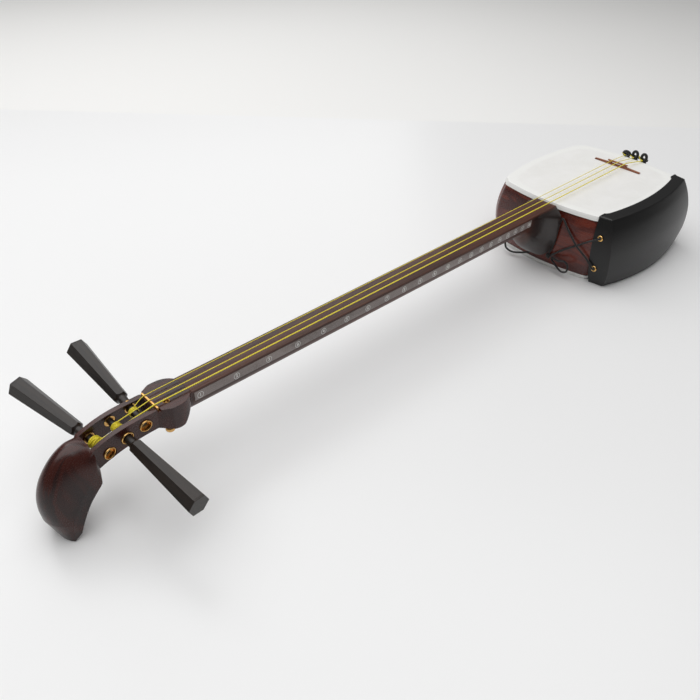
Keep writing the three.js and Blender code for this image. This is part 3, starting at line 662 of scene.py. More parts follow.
UPPER, LOWER = EYELETS
LACES = {
    "head_upper": [
        *through_eyelet(-1, *UPPER),
        off_board(-1, -74, 62.5, 4.2),
        off_board(-1, -58, 50, LACE_OFF),
        off_board(-1, -42, 38, LACE_OFF),
        Vector((knot.x - 0.6, knot.y - KNOT_R - 1.2, knot.z + 3.6)),
    ],
    "head_lower": [
        *through_eyelet(-1, *LOWER),
        off_board(-1, -76, 37, 4.2),
        off_board(-1, -60, 51.5, LACE_OVER),
        off_board(-1, -42, 69, LACE_OFF + 1),
        off_board(-1, -30.5, 79.5, LACE_OFF + 0.3),
        off_board(-1, -28.6, 68, LACE_OFF + 0.3),
        off_board(-1, -28.4, 55, LACE_OFF + 0.3),
        off_board(-1, -27.4, 41, LACE_OFF + 0.3),
        off_board(-1, -24.4, 31, LACE_OFF + 0.3),
        Vector((knot.x + 1, knot.y + 0.6, knot.z + KNOT_R + 1.2)),
    ],
}


def round_tenon(x, off):
    points = []
    corners = (
        (-TENON["half"], TENON["z0"], 180),
        (TENON["half"], TENON["z0"], 270),
        (TENON["half"], TENON["z1"], 0),
        (-TENON["half"], TENON["z1"], 90),
    )
    for y, z, start in corners:
        for step in (0, 45, 90):
            angle = math.radians(start + step)
            points.append(Vector((x, y + off * math.cos(angle), z + off * math.sin(angle))))
    return points


TAIL_LACE_X = CORNER_X + BOW_X + swell(60) + LACE_OFF + 0.2
LACES["tail"] = [
    *through_eyelet(1, *UPPER),
    off_board(1, -74, 63, 4.2),
    off_board(1, -50, 54, LACE_OFF),
    off_board(1, -28, 48.5, LACE_OFF),
    *round_tenon(TAIL_LACE_X, LACE_OFF)[1:],
    off_board(1, -22, 67, LACE_OFF + 0.3),
    off_board(1, -44, 55.5, LACE_OVER),
    off_board(1, -76, 34, 4.2),
    *through_eyelet(1, *LOWER)[::-1],
]
for where, points in LACES.items():
    lace = tube(f"lace_{where}", [catmull(points, 6)], LACE_R)
    finish(lace, "root", lace_black, "lace_cord", f"lacing_{where}")


def knot_path(centre, size):
    """A closed overhand knot, drawn up tight."""
    made = []
    for i in range(72):
        t = 2 * math.pi * i / 72
        y, z = math.sin(t) + 2 * math.sin(2 * t), math.cos(t) - 2 * math.cos(2 * t)
        made.append(centre + Vector((-math.sin(3 * t) * 0.75, y, z)) * size)
    return made


lace_knot = tube("lace_knot", [knot_path(knot, 0.8)], LACE_R * 1.15, closed=True)
finish(lace_knot, "root", lace_black, "lace_cord", "lacing_knot")


# ---- Body: boards and skins ----
def side_point(side, u, offset, z):
    """A point on one of the four sides, in the order tail, far, head, near; u runs between corners."""
    ease = CORNER_EASE * max(0, (abs(u) - 0.86) / 0.14) ** 2
    long = side % 2 == 0
    bow = (BOW_X if long else BOW_Y) * (1 - u * u)
    out = (CORNER_X if long else CORNER_Y) + bow + offset - ease
    along = u * ((CORNER_Y if long else CORNER_X) + offset - ease)
    return Matrix.Rotation(side * math.pi / 2, 3, "Z") @ Vector((out, along, z))


def side_steps(count):
    """Steps from corner to corner that get closer near the corners."""
    return [math.sin(math.pi / 2 * t) for t in spread(-1, 1, count)]


def outline(offset, z, count=25):
    steps = side_steps(count)[:-1]
    return [side_point(side, u, offset, z) for side in range(4) for u in steps]


def envelope(offset, z0, z1, levels=18):
    heights = spread(z0, z1, levels)
    return loft("envelope", [outline(offset + swell(z), z) for z in heights])


def board(name, side):
    low, high = SKIN + GAP, DEPTH - SKIN - GAP
    heights = spread(low, high, 26)
    rings = []
    for u in side_steps(61):
        u *= 0.998
        ring = [side_point(side, u, swell(z), z) for z in heights]
        ring += [side_point(side, u, -BOARD, z) for z in (high, low)]
        rings.append(ring)
    return loft(name, rings)


def tenon_hole():
    half, z0, z1 = TENON["half"] + GAP, TENON["z0"] - GAP, TENON["z1"] + GAP
    return block("hole", -140, 140, -half, half, z0, z1)


for side, where in enumerate(("tail", "far", "head", "near")):
    made = board(f"board_{where}", side)
    if side % 2 == 0:
        cut(made, tenon_hole())
        smooth(made.data, 35)
    look = karin_cross if side % 2 == 0 else karin_long
    finish(made, "root", look, "karin", f"body_board_{where}")


def skin(name, flip):
    """A thin sheet over the rim, with the distance in from the rim kept for its finish."""
    edge = DEPTH - SKIN_WRAP
    outer = [(offset, DEPTH) for offset in (-60, -40, -25, -16, -13, -11, -9, -7, -4.5, -2.5, -1)]
    for t in spread(0, 1, 6):
        turn = t * math.pi / 2
        outer.append((-0.1 + (GAP + SKIN + 0.1) * math.sin(turn), DEPTH - 0.9 * (1 - math.cos(turn))))
    outer += [(swell(z) + GAP + SKIN, z) for z in spread(DEPTH - 2, edge + 0.3, 5)]
    outer += [(swell(edge) + GAP + SKIN - 0.25, edge), (swell(edge) + GAP + 0.1, edge)]
    inner = [(GAP, DEPTH - SKIN), (-20, DEPTH - SKIN)]
    profile = outer + inner
    bm = bmesh.new()
    mark = bm.verts.layers.float.new("inward")
    rings = []
    for offset, z in profile:
        height = DEPTH - z if flip else z
        rings.append(outline(offset, height, 41))
    rows = add_grid(bm, rings)
    for (offset, _), row in zip(profile, rows):
        for vert in row:
            vert[mark] = max(0, -offset)
    return from_bmesh(name, bm, 28)


finish(skin("skin_front", False), "root", skin_white, "skin", "front_skin")
finish(skin("skin_back", True), "root", skin_white, "skin", "back_skin")

# ---- Neck ----
HEEL_FLARE = 15.5
HEEL_STATIONS = (
    (-181, NECK_DEPTH, 0),
    (-174, 27, 0),
    (-167, 36, 0),
    (-157, 48, 0.5),
    (-145, 57.5, 2.2),
    (-132, 66, 6.5),
    (-121, 72.5, 12),
    (-113, 77.5, HEEL_FLARE),
    (-96, 82, 17),
)
GROOVE = {"width": 4.6, "depth": 5.4}
TOP_ROUND = 0.8


def neck_half(x):
    t = (x - NUT_X) / (NECK_END - NUT_X)
    return NUT_HALF + (HEEL_HALF - NUT_HALF) * t


def neck_ring(x, half, depth, wall, flare=0.0):
    """One station of the neck: a flat top, sides that may flare, and a rounded underside."""
    opened = flare / HEEL_FLARE
    side = [
        (half - TOP_ROUND + TOP_ROUND * math.cos(a), TOP_ROUND * (1 - math.sin(a)))
        for a in spread(math.pi / 2, 0, 5)
    ]
    flank = [
        (half, TOP_ROUND),
        (half + 0.3 * flare, 3),
        (half + 0.82 * flare, 5 + 3.5 * opened),
        (half + 0.97 * flare, 8 + 10.5 * opened),
        (half + flare, wall),
    ]
    side += [(p.x, p.y) for p in catmull([(a, b, 0) for a, b in flank], 5)[1:]]
    side += [
        ((half + flare) * math.cos(a), wall + (depth - wall) * math.sin(a))
        for a in spread(0, math.pi / 2, 19)[1:]
    ]
    right = [Vector((x, y, NECK_TOP - drop)) for y, drop in side]
    left = [Vector((x, -p.y, p.z)) for p in right[:-1]]
    return right + left[::-1]


def plain_ring(x):
    return neck_ring(x, neck_half(x), NECK_DEPTH, NECK_WALL)


def heel_ring(station, inset=0.0):
    x, depth, flare = station
    depth -= inset
    wall = NECK_WALL + (depth - NECK_DEPTH) * 0.47
    return neck_ring(x, neck_half(x), depth, wall, max(0, flare - inset))


JOINT_LINE = 0.04  # how far apart the lengths of the neck show
pieces = [NECK_START + JOINT_LINE, *NECK_JOINTS]
for name, (x0, x1) in {"upper": pieces[:2], "middle": (pieces[1] + JOINT_LINE, pieces[2])}.items():
    made = loft(f"neck_{name}_length", [plain_ring(x) for x in spread(x0, x1, 12)], 40)
    finish(made, "root", neck_wood, "neck_wood", f"neck_{name}")

fine_heel = catmull(HEEL_STATIONS, 5)
stations = [plain_ring(x) for x in spread(NECK_JOINTS[1] + JOINT_LINE, -190, 8)]
lower = loft("neck_lower_length", stations + [heel_ring(p) for p in fine_heel], 40)
groove = cut(
    envelope(GROOVE["width"], -1, DEPTH + 1),
    loft("inset", [heel_ring(p, GROOVE["depth"]) for p in fine_heel[10:]]),
    block("keep", -160, 0, -HEEL_HALF - 1, HEEL_HALF + 1, NECK_TOP - 9, NECK_TOP + 9),
)
cut(lower, groove, envelope(GAP + SKIN + 0.5, -1, DEPTH + 1), tenon_hole())
smooth(lower.data, 38)
finish(lower, "root", heel_wood, "neck_wood", "neck_lower_heel")

tenon = block(
    "tenon_shaft", TENON["x0"], TENON["x1"], -TENON["half"], TENON["half"], TENON["z0"], TENON["z1"]
)
soften(tenon, 1.2, segments=3)
finish(tenon, "root", inner_wood, "inner_wood", "neck_tenon_shaft")

# ---- Finger positions: a film on the neck's near side, with a number in a ring at each ----
FILM = {"x0": -681, "x1": -162, "thick": 0.3, "drop": 2.4, "height": 9.2}
film = loft(
    "position_film",
    [
        [
            Vector((x, -neck_half(x) - GAP + dy, NECK_TOP - FILM["drop"] - dz))
            for dy, dz in (
                (0.28, 0),
                (0.28, FILM["height"]),
                (-FILM["thick"] + 0.1, FILM["height"]),
                (-FILM["thick"], FILM["height"] - 0.2),
                (-FILM["thick"], 0.2),
                (-FILM["thick"] + 0.1, 0),
            )
        ]
        for x in spread(FILM["x0"], FILM["x1"], 30)
    ],
)
finish(film, "root", strip_film, "strip_film", "position_strip")

# What each ring says, one for each semitone above the open string.
POSITIONS = "1 2 3 # 4 5 6 7 8 9 b 10 11 12 13 # 14 15 16 17 18".split()
LABEL = {"drop": 7.6, "ring": 3.5, "line": 0.5, "digit": 4.9, "thick": 0.02}


def position_labels():
    bm = bmesh.new()
    for semitones, text in enumerate(POSITIONS, 1):
        x = NUT_X + STRING_LENGTH * (1 - 2 ** (-semitones / 12))
        face = -neck_half(x) - GAP - FILM["thick"] - 0.02
        place = Matrix.Translation((x, face, NECK_TOP - LABEL["drop"])) @ Matrix.Rotation(
            math.pi / 2, 4, "X"
        )
        data = bpy.data.curves.new("digits", "FONT")
        data.body, data.size = text, LABEL["digit"] * (1 if len(text) == 1 else 0.86)
        data.align_x, data.align_y = "CENTER", "CENTER"
        data.extrude, data.offset, data.resolution_u = LABEL["thick"], 0.12, 3
        if len(text) == 2:
            data.space_character = 0.85
        holder = new_object("digits", data)
        mesh = holder.to_mesh()
        mesh.transform(place)
        bm.from_mesh(mesh)
        holder.to_mesh_clear()
        bpy.data.objects.remove(holder)
        rings = []
        for i in range(40):
            angle = 2 * math.pi * i / 40
            ring = []
            for r, h in ((0, -1), (1, -1), (1, 1), (0, 1)):
                radius = LABEL["ring"] - LABEL["line"] * r
                point = (radius * math.cos(angle), radius * math.sin(angle), h * LABEL["thick"])
                ring.append(place @ Vector(point))
            rings.append(ring)
        add_grid(bm, rings, closed=True)
    return from_bmesh("position_numbers", bm, 40)


finish(position_labels(), "root", label_white, "strip_film")


# ---- Head: pegbox, lobes below the nut and the curled finial, in one piece ----
def outline2(start, *parts, steps=14):
    """A flat outline: pairs are corners, and four or six numbers are curves with one or two handles."""
    points = [Vector(start)]
    for part in parts:
        if len(part) == 2:
            points.append(Vector(part))
            continue
        a, end = points[-1], Vector(part[-2:])
        handles = [Vector(part[i : i + 2]) for i in range(0, len(part) - 2, 2)]
        for i in range(1, steps + 1):
            t = i / steps
            if len(handles) == 1:
                p = a * (1 - t) ** 2 + handles[0] * 2 * t * (1 - t) + end * t * t
            else:
                b, c = handles
                p = a * (1 - t) ** 3 + b * 3 * t * (1 - t) ** 2 + c * 3 * t * t * (1 - t) + end * t**3
            points.append(p)
    return [tuple(p) for p in points]


def in_side(a, b, c):
    return Vector((a, c, b))


def in_plan(a, b, c):
    return Vector((a, b, c))


pegbox_shape = outline2(
    (-712, NECK_TOP),
    (-742, NECK_TOP),
    (-766, below(0.4), -786, below(9)),
    (-790, below(15)),
    (-787, below(30)),
    (-782, below(30.3)),
    (-757, below(20.1), -722, below(20.1)),
    (-712, below(21.9)),
)
start_half = neck_half(NECK_START)
lobe_shape = outline2(
    (-721, -HEAD_HALF),
    (-708.5, -21.7),
    (-702, -22.4, -690.5, -22.6, -685, -start_half),
    (-685, start_half),
    (-690.5, 22.6, -702, 22.4, -708.5, 21.7),
    (-721, HEAD_HALF),
)
lobe_side = outline2(
    (-721.5, NECK_TOP),
    (-721.5, below(20.3)),
    (-712, below(23.7)),
    (-702, below(27.4), -697, below(24.6)),
    (-690, below(17), -685, below(6)),
    (-685, NECK_TOP),
)

# Finial stations: the front's crest, then the flat flank's front and back edges, and the half width.
FINIAL = (
    (-785, 85.5, -784.5, 78, -783, 60.6, 17),
    (-790.5, 88, -787, 68, -784.5, 55, 20),
    (-800.5, 89, -792, 60, -785.5, 49.5, 21),
    (-812.5, 83.5, -799.5, 51, -791.5, 43, 21.3),
    (-823, 73.5, -806, 43, -798.5, 35, 21.3),
    (-831, 61, -811.5, 35, -804.5, 26, 21.6),
    (-835.5, 47, -815.5, 28.5, -809, 17.5, 21.8),
    (-836.6, 34, -817.5, 24.5, -812.3, 10.5, 22),
    (-835.6, 22.5, -819, 20.5, -813.7, 7, 22),
    (-827.5, 0.4, -820.5, 0.8, -814.5, 5, 20.5),
)
CREST_K = 0.94
SCOOP = 7
FRONT_STEPS = 44
SUB = 6


def finial_ring(row, values):
    front_x, front_z, edge_x, edge_z, back_x, back_z, half = values

    def crest(s):
        return (1 - math.sqrt(1 - (CREST_K * s) ** 2)) / (1 - math.sqrt(1 - CREST_K**2))

    ring = []
    for s in spread(-1, 1, FRONT_STEPS + 1):
        y = half * math.sin(s * math.pi / 2)
        t = crest(min(1, abs(y / half)))
        ring.append(Vector((front_x + (edge_x - front_x) * t, y, front_z + (edge_z - front_z) * t)))
    inward = Vector((front_x - back_x, 0, front_z - back_z)).normalized()
    last = len(FINIAL) - 1
    depth = SCOOP * math.sin(math.pi * row / (last + 2)) * min(1, last - row)
    for s in spread(1, -1, 13):
        ring.append(Vector((back_x, half * s, back_z)) + inward * depth * (1 - s * s))
    return ring


def finial_solid():
    """Smooth through all stations but the last, which ends a flat foot."""
    count = len(FINIAL) - 1
    columns = [[Vector((row[i], row[i + 1], 0)) for row in FINIAL[:count]] for i in (0, 2, 4)]
    curves = [catmull(column, SUB) for column in columns]
    halves = catmull([(i, row[6], 0) for i, row in enumerate(FINIAL[:count])], SUB)
    rings = []
    for i in range(len(halves)):
        values = [c for curve in curves for c in (curve[i].x, curve[i].y)]
        rings.append(finial_ring(i / SUB, (*values, halves[i].y)))
    before, after = FINIAL[-2], FINIAL[-1]
    for t in (0.33, 0.67, 1):
        values = [a + (b - a) * t for a, b in zip(before, after)]
        rings.append(finial_ring(count - 1 + t, values))
    return loft("finial", rings)


def peg_axis(peg):
    across, up = math.radians(peg["splay"]), math.radians(peg["lift"])
    return Vector((math.sin(across), peg["side"] * math.cos(across), math.sin(up))).normalized()


def along_peg(peg, distance):
    return Vector((peg["x"], 0, below(peg["drop"]))) + peg_axis(peg) * distance


RING_R, RING_MOUTH, SLEEVE_R = 6.3, 5.2, 5.7
WALL_OUT = HEAD_HALF + 0.2


def bore(radius, start, direction, length):
    return lathe("bore", [(0, 0), (radius, 0), (radius, length), (0, length)], start, direction, 40)


def sawari_at(drop):
    return Vector((SAWARI.x, SAWARI.y, below(drop)))


def slot_section(drop):
    half = SLOT_HALF + SLOT_FLARE * drop
    corners = ((0, -1), (1, -1), (1, 1), (0, 1))
    return [Vector((SLOT[end], side * half, below(drop))) for end, side in corners]


def head():
    made = prism("pegbox_and_finial", pegbox_shape, in_side, -HEAD_HALF, HEAD_HALF)
    stub = loft("stub", [plain_ring(x) for x in spread(-712, NECK_START, 5)])
    lobes = prism("lobes", lobe_shape, in_plan, 50, NECK_TOP)
    combine(lobes, [prism("lobe_side", lobe_side, in_side, -30, 30)], "INTERSECT")
    combine(made, [stub, lobes, finial_solid()], "UNION")
    tools = [
        loft("slot", [slot_section(drop) for drop in (-20, 60)]),
        block("ramp", -736, -721, -SLOT_HALF, SLOT_HALF, NECK_TOP - 4, NECK_TOP + 5),
        block("nut_groove", NUT_X - 1.5, NUT_X + 1.5, -30, 30, NECK_TOP - 2, NECK_TOP + 5),
        bore(3.4, sawari_at(36), UP, 40),
    ]
    for peg in PEGS:
        axis = peg_axis(peg)
        tools.append(bore(SLEEVE_R + 0.1, along_peg(peg, -30), axis, 60))
        tools.append(bore(RING_R + 0.1, along_peg(peg, -WALL_OUT - 19.5), axis, 20))
        tools.append(bore(RING_R + 0.1, along_peg(peg, WALL_OUT - 0.5), axis, 20))
    cut(made, *tools)
    return soften(made, 0.25, 15)


finish(head(), "root", head_wood, "head_wood", "head_pegbox_finial")

# ---- Nut and the buzz screw ----
nut = block("nut_bar", NUT_X - 1.1, NUT_X + 1.1, -NUT_HALF, NUT_HALF, NECK_TOP - 1.7, NECK_TOP + 1.7)
soften(nut, 0.55, segments=4)
finish(nut, "root", nut_brass, "brass", "nut")

bushing = lathe(
    "buzz_bushing",
    ring_profile([(2.6, 0), (3.1, 0), (3.1, 6), (3.4, 6), (3.3, 6.2), (2.9, 6.2), (2.6, 5.9)], 0.06),
    sawari_at(5.9),
    UP,
)
finish(bushing, "root", pin_brass, "brass", "sawari_bushing")
pin = lathe(
    "buzz_pin",
    [(0, 0), (1.4, 0), (1.6, 0.2), (1.6, 23.6), (1.5, 24), (0.8, 25), (0.5, 25.2), (0, 25.2)],
    sawari_at(26.2),
    UP,
)
finish(pin, "sawari_screw_pin", pin_brass, "brass", "sawari_pin")


def knurl(r, along, angle):
    grip = 4 < r and 0.7 < along < 3.7
    return r - (0.12 * (1 + math.cos(angle * 28)) if grip else 0)


knob = lathe(
    "buzz_knob",
    [
        (0, 0), (3.2, 0), (3.6, 0.15), (4.3, 0.75), (4.4, 0.95), (4.4, 3.4), (4.3, 3.65), (3.6, 4.3),
        (3.3, 4.4), (2.3, 4.4), (2.2, 4.5), (2.2, 8.8), (2, 9), (0, 9),
    ],
    sawari_at(35.6),
    UP,
    segments=168,
    ridges=knurl,
)
finish(knob, "sawari_screw_knob", brass, "brass", "sawari_knob")


# ---- Pegs, their rings and windings ----
def peg_radius(distance):
    return PEG_TIP_R + (PEG_WALL_R - PEG_TIP_R) * (distance - PEG_TIP) / (18 - PEG_TIP)


def peg_mesh(name, peg):
    """A round tapered shaft, and a six-sided handle whose flats start as scallops on a round shoulder."""
    reach, columns = peg["reach"], 96
    stations = [PEG_TIP, PEG_TIP + 0.2, *spread(PEG_TIP + 0.6, 18, 8), *spread(18.4, 36, 64)]
    stations += spread(38, reach - 1.7, 14)
    cap = {1.45: 0.2, 1.3: 0.2, 1.1: 0, 0.3: 0, 0.1: 0.12, 0: 0.34}  # a fine line, then an eased edge
    stations += [reach - back for back in cap]
    rings = []
    for along in stations:
        round_r = peg_radius(min(along, 18)) + 0.06 * max(0, along - 18)
        round_r += 0.62 * max(0, along - 25.2) ** 1.3
        round_r -= max(0, PEG_TIP + 0.6 - along)
        hexagon = 7.3 + (PEG_END_R - 7.3) * (along - 29) / (reach - 1.2 - 29)
        hexagon -= next((d for back, d in cap.items() if abs(reach - back - along) < 0.01), 0)
        ring = []
        for j in range(columns):
            angle = 2 * math.pi * j / columns
            around = (angle + math.pi / 6) % (math.pi / 3) - math.pi / 6
            flat = hexagon * math.cos(math.pi / 6) / math.cos(math.pi / 6 - abs(around))
            flat = min(flat, hexagon - 0.06)
            r = min(round_r, flat) if along > 25 else round_r
            ring.append(Vector((r * math.cos(angle), r * math.sin(angle), along)))
        rings.append(ring)
    made = loft(name, rings, 18)
    made.matrix_world = local_frame(along_peg(peg, 0), peg_axis(peg))
    return made


def peg_ring(name, peg, end):
    inner = peg_radius(end * 12) + 0.35
    profile = [
        (inner, 0), (SLEEVE_R, 0), (SLEEVE_R, 4), (RING_R, 4), (RING_R, 4.8), (RING_R - 0.6, 5.4),
        (RING_MOUTH, 5.2), (RING_MOUTH - 0.1, 1.6), (inner, 1.3),
    ]
    start = along_peg(peg, end * (WALL_OUT - 4.4))
    return lathe(name, ring_profile(profile, 0.2), start, peg_axis(peg) * end)


def winding(name, peg, size, strand):
    """A core, a layer of turns over it, and a few crossing turns, all inside the winding's barrel."""
    inner, half, outer = peg_radius(size["y"] * peg["side"] + size["half"]) + GAP, size["half"], size["r"]

    def barrel(z):
        full = max(0, 1 - abs(z / half) ** 2.3)
        low = min(inner + 0.9, outer - 0.1)
        return low + (outer - low) * full

    def at(z, angle, r):
        return Vector((r * math.cos(angle), r * math.sin(angle), z))

    reach = half - strand
    turns = 2 * reach / (2.1 * strand)
    count = int(turns * 28)
    layer = []
    for i in range(count + 1):
        t = i / count
        z = -reach + 2 * reach * t
        wobble = 0.18 * math.sin(9 * t + 1) + 0.1 * math.sin(turns * 6.3 * t)
        r = max(inner + strand * 0.8, barrel(z) - 2.3 * strand + wobble * strand)
        layer.append(at(z, turns * 2 * math.pi * t, r))
    crossing = []
    laps = 3.6
    for i in range(151):
        t = i / 150
        z = 0.78 * reach * math.sin(2 * math.pi * (1.35 * t + 0.1))
        r = max(inner + strand, barrel(z) - strand - 0.05)
        crossing.append(at(z, -laps * 2 * math.pi * t + 0.6, r))
    made = tube(name, [layer, crossing], strand, sides=10)
    core = bmesh.new()
    core.from_mesh(made.data)
    rows = []
    for j in range(32):
        angle = 2 * math.pi * j / 32
        heights = spread(-half * 0.96, half * 0.96, 13)
        row = [at(z, angle, max(inner + 0.1, barrel(z) - 2.9 * strand)) for z in heights]
        row += [at(z, angle, inner - 0.1) for z in (heights[-1], heights[0])]
        rows.append([point * MM for point in row])
    add_grid(core, rows, closed=True)
    bmesh.ops.recalc_face_normals(core, faces=core.faces)
    core.to_mesh(made.data)
    core.free()
    smooth(made.data, 60)
    made.matrix_world = local_frame(along_peg(peg, size["y"] * peg["side"]), peg_axis(peg))
    return made


for i, (peg, size) in enumerate(zip(PEGS, WINDINGS)):
    n = i + 1
    body = f"tuning_peg_{n}"
    finish(peg_mesh(f"turning_peg_{n}", peg), body, peg_wood, "peg_wood", f"peg_{n}")
    for end, where in ((-1, "tip"), (1, "handle")):
        ring = peg_ring(f"hole_ring_{n}_{where}", peg, end)
        finish(ring, "root", brass, "brass", f"peg_ring_{n}_{where}")
    wound = winding(f"wound_string_{n}", peg, size, STRING_R[i])
    finish(wound, body, winding_silk, "yellow_silk", f"string_winding_{n}")

# ---- Strings ----
for i, (peg, size, radius) in enumerate(zip(PEGS, WINDINGS, STRING_R)):
    y_nut, y_bridge = STRING_Y_NUT[i], STRING_Y_BRIDGE[i]
    nut_top = NECK_TOP + 1.7 + radius + 0.05
    bridge_top = BRIDGE_TOP + radius + 0.05
    near_end = size["y"] - (size["half"] + radius if i == 0 else 0)
    wound_at = along_peg(peg, near_end * peg["side"])
    height = size["r"] * (0.85 if i == 0 else 1)
    leave = wound_at + Vector((1.5, 0, height + radius + 0.4))
    approach = leave.lerp(Vector((NUT_X - 3, y_nut, nut_top - 0.6)), 0.9)
    points = [
        leave,
        leave.lerp(approach, 0.5),
        approach,
        (NUT_X - 0.8, y_nut, nut_top),
        (NUT_X + 3, y_nut, nut_top + 0.05),
        (BRIDGE_X - 3, y_bridge, bridge_top),
        (BRIDGE_X + 0.5, y_bridge, bridge_top),
        (BRIDGE_X + 4, y_bridge + 0.02 * i, bridge_top - 0.2),
        (TAIL_LOOP_X - 5, TAIL_LOOP_Y[i], DEPTH + 2.6),
    ]
    route = catmull(points, 10)
    span = 10 * 4
    straight = [route[span].lerp(route[span + 10], t) for t in spread(0, 1, 120)]
    route = route[:span] + straight + route[span + 11 :]
    foot = Vector((TAIL_LOOP_X - 2.8, TAIL_LOOP_Y[i], DEPTH + 2.3))  # it ends in a half hitch here
    up = 4.2 if i == 0 else 1
    hitch = ((0, 0, 0), (0, 3, 0.4), (1, 5.6, 1), (-0.4, 6.2, 1 + up))
    tail = [foot + Vector(p) for p in hitch]
    made = tube(f"silk_string_{i + 1}", [route[:-1] + catmull([route[-1], *tail], 6)], radius, sides=12)
    finish(made, "root", silk[i], "yellow_silk", f"string_{i + 1}")

# ---- Bridge ----
BRIDGE = {"half": 36.5, "bar": 15.8, "leg": 13.5, "window": 9.5, "thick": 4.4}


def bridge_mesh():
    top = BRIDGE_TOP - DEPTH - GAP
    half, bar, leg, window = (BRIDGE[k] for k in ("half", "bar", "leg", "window"))
    right = outline2(
        (half, 0),
        (half, 1.3),
        (half - 8, 1.5, leg + 3, 2.2),
        (leg + 0.6, 2.5, leg - 0.6, top - 1.9),
        (leg + 0.6, top - 1.5, bar, top - 1.1),
        (bar, top),
        steps=6,
    )
    shape = right + [(-a, b) for a, b in right[::-1]]

    def place(a, b, c):
        share = 1 - 0.45 * (b / top)
        return Vector((BRIDGE_X + c * share, BRIDGE_Y + a, DEPTH + GAP + b))

    made = prism("bridge_block", shape, place, -BRIDGE["thick"] / 2, BRIDGE["thick"] / 2)
    hole = outline2(
        (-window, 1.9),
        (-window - 0.5, top / 2, -window, top - 1.9),
        (window, top - 1.9),
        (window + 0.5, top / 2, window, 1.9),
        steps=6,
    )
    cutters = [
        prism("window", hole, lambda a, b, c: Vector((BRIDGE_X + c, BRIDGE_Y + a, DEPTH + GAP + b)), -5, 5)
    ]
    for y, radius in zip(STRING_Y_BRIDGE, STRING_R):
        seat = Vector((BRIDGE_X - 5, y, BRIDGE_TOP + radius * 0.6))
        cutters.append(bore(radius * 0.95, seat, (1, 0, 0), 10))
    cut(made, *cutters)
    return soften(made, 0.22, 30)


finish(bridge_mesh(), "bridge_body", bamboo, "bamboo", "bridge")

# ---- Tail cord ----
TAIL_LOOP = ((3.7, 4.8, 6.3), (3.7, 4.8, 6.3), (4.8, 2.9, 4))  # half width, half height, middle height
for i, (y, (half, tall, up)) in enumerate(zip(TAIL_LOOP_Y, TAIL_LOOP)):
    arch = []
    for k in range(9):
        angle = math.radians(-50 + 280 * k / 8)
        arch.append((TAIL_LOOP_X, y + half * math.cos(angle), DEPTH + up + tall * math.sin(angle)))

    def strand(side, y=y):
        return [
            (TAIL_LOOP_X + 11.6, y * 0.5 + 2.4 * side, DEPTH - 15.5),
            (TAIL_LOOP_X + 8.8, y * 0.8 + 2.4 * side, DEPTH - 10.5),
            (TAIL_LOOP_X + 3, y * 0.96 + 2.4 * side, DEPTH - 3.5),
        ]

    points = strand(1) + arch + strand(-1)[::-1]
    made = tube(f"tail_cord_loop_{i + 1}", [catmull(points, 6)], TAIL_CORD_R, sides=18)
    finish(made, "root", cord_black, "black_cord", f"tail_loop_{i + 1}")

feet = [(TAIL_LOOP_X + 7.4 - y * y * 0.003, y, DEPTH + 0.6) for y in (13, 4, -5, -14, -23)]
TURN_R = 1.9
turn = tube("tail_cord_wrap", [catmull(feet, 8)], TURN_R, sides=18)
finish(turn, "root", cord_black, "black_cord", "tail_cord_turn")

hitch_points = round_tenon(TENON["x1"] - 3, TAIL_CORD_R + 0.6)[:-1]
hitch = tube("tail_cord_knot", [catmull(hitch_points, 5)], TAIL_CORD_R, sides=18)
finish(hitch, "root", cord_black, "black_cord", "tail_cord_hitch")

# ---- Arm cover ----
COVER_PROFILE = (
    (0.5, 98.5, 18),
    (7, 101.8, 17.4),
    (22, 105.2, 15.6),
    (48, 105, 14.5),
    (63, 102.5, 14),
    (80, 97.5, 13.5),
    (91, 92.8, 13),
    (95, 90.8, 13),
)


def cover_ring(z, reach, bow, end_x):
    ring = []
    for t in spread(1, -1, 61):
        x = (end_x - COVER["turn_in"]) * t
        ring.append(Vector((x, -(reach + bow * (1 - (x / end_x) ** 2)), z)))
    flap = COVER["flap_y"] - 6 * (1 - z / DEPTH)
    return ring + [Vector((-end_x, flap, z)), Vector((end_x, flap, z))]


def cover_mesh():
    fine = catmull(COVER_PROFILE, 6)
    rim = [(94.5, 91, 13), (94.9, 90.75, 13), (95.15, 90.3, 13), (95.25, 89.6, 12.9)]
    outer = loft(
        "cover",
        [cover_ring(z, reach, bow, cover_end(z)) for z, reach, bow in fine[:-2] + rim]
        + [cover_ring(DEPTH + 2.2, 79, 11, COVER["x"])],
    )
    hollow = loft(
        "hollow",
        [cover_ring(z, reach - COVER["wall"], bow, CORNER_X - 4) for z, reach, bow in fine[6:-6]],
    )
    opening = loft("opening", [outline(-COVER["lip"], z, 41) for z in (DEPTH - 1, DEPTH + 6)])
    holes = [bore(3, Vector((-130, y, z)), (1, 0, 0), 260) for y, z in EYELETS]
    cut(outer, envelope(GAP + SKIN + 0.6, -1, DEPTH + GAP), opening, hollow, *holes)
    smooth(outer.data, 30)
    return outer


made = cover_mesh()
made.name = "arm_cover_shell"
finish(made, "root", cover_black, "cover_lacquer", "arm_cover")

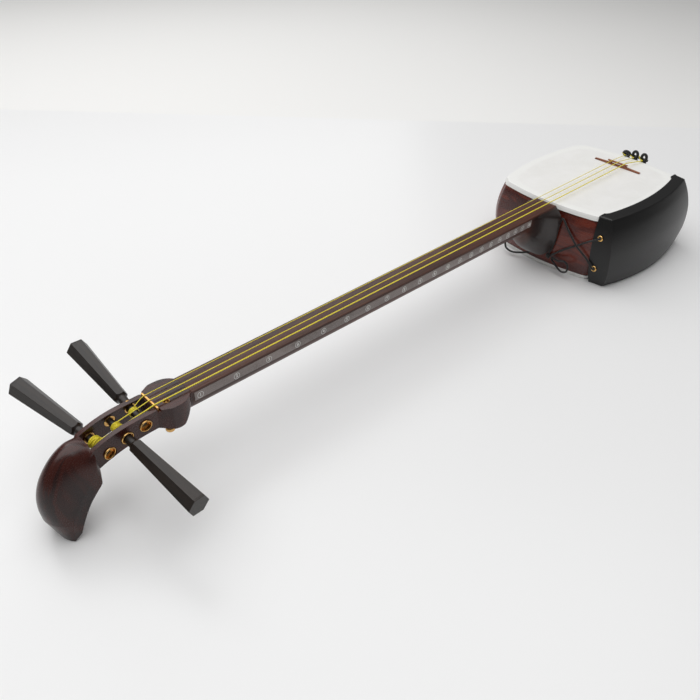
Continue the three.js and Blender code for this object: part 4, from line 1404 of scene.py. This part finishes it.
EYELET_PROFILE = [
    (1.9, 0), (2.7, 0), (2.7, 2.2), (4.2, 2.2), (4.15, 2.6), (3.6, 3.2), (3, 3.3), (2.3, 3.1), (1.9, 2.4),
]
for i, (y, z) in enumerate(EYELETS, 1):
    for end, where in ((-1, "head"), (1, "tail")):
        start = Vector((end * (flap_x(y, z) - 1.5), y, z))
        eyelet = lathe(f"eyelet_{where}_{i}", ring_profile(EYELET_PROFILE, 0.2), start, (end, 0, 0))
        finish(eyelet, "root", brass, "brass", f"cover_eyelet_{where}_{i}")


# ---- Studio: a pale table, a pale ground below it and soft light from above ----
def studio_plane(name, corners, colour, rough):
    bm = bmesh.new()
    bm.faces.new([bm.verts.new(c) for c in corners])
    made = from_bmesh(name, bm, scale=1, outward=False)
    s = Shader(name + "_finish")
    paper = s.noise(s.node("TexCoord").outputs["Object"], 0.8, 2)
    s.colour(s.blend(s.remap(paper, 0.3, 0.7), colour, tuple(c * 0.985 for c in colour[:3]) + (1,)))
    s.roughness(rough)
    made.data.materials.append(s.material)


TABLE_EDGE = (Vector((-1.4, 2.02, 0)), Vector((2.2, -1.52, 0)))
studio_plane(
    "table",
    [TABLE_EDGE[0], Vector((-8, 2, 0)), Vector((-8, -8, 0)), Vector((2.2, -8, 0)), TABLE_EDGE[1]],
    (0.86, 0.86, 0.86, 1),
    0.28,
)
GROUND, GROUND_Z = 20, -0.2  # half width and height
around = ((-1, -1), (1, -1), (1, 1), (-1, 1))
ground = [(GROUND * x, GROUND * y, GROUND_Z) for x, y in around]
studio_plane("ground", ground, (0.88, 0.875, 0.86, 1), 0.8)


def softbox(name, place, towards, size, power, colour=(1, 1, 1)):
    data = bpy.data.lights.new(name, "AREA")
    data.shape, data.size, data.size_y = "RECTANGLE", *size
    data.energy, data.color = power, colour
    light = bpy.data.objects.new(name, data)
    bpy.context.scene.collection.objects.link(light)
    light.location = place
    aim = Vector(towards) - Vector(place)
    light.rotation_mode = "QUATERNION"
    light.rotation_quaternion = aim.to_track_quat("-Z", "Y")


softbox("top", (-0.7, 0.5, 2.8), (-0.55, 0.3, 0), (4.6, 4.6), 120)
softbox("back", (0.5, 2.1, 1.4), (-0.3, 0, 0), (2.6, 1.6), 13)

world = bpy.data.worlds.new("room")
bpy.context.scene.world = world
world.use_nodes = True
world.node_tree.nodes["Background"].inputs["Color"].default_value = (1, 1, 1, 1)
world.node_tree.nodes["Background"].inputs["Strength"].default_value = 0.14
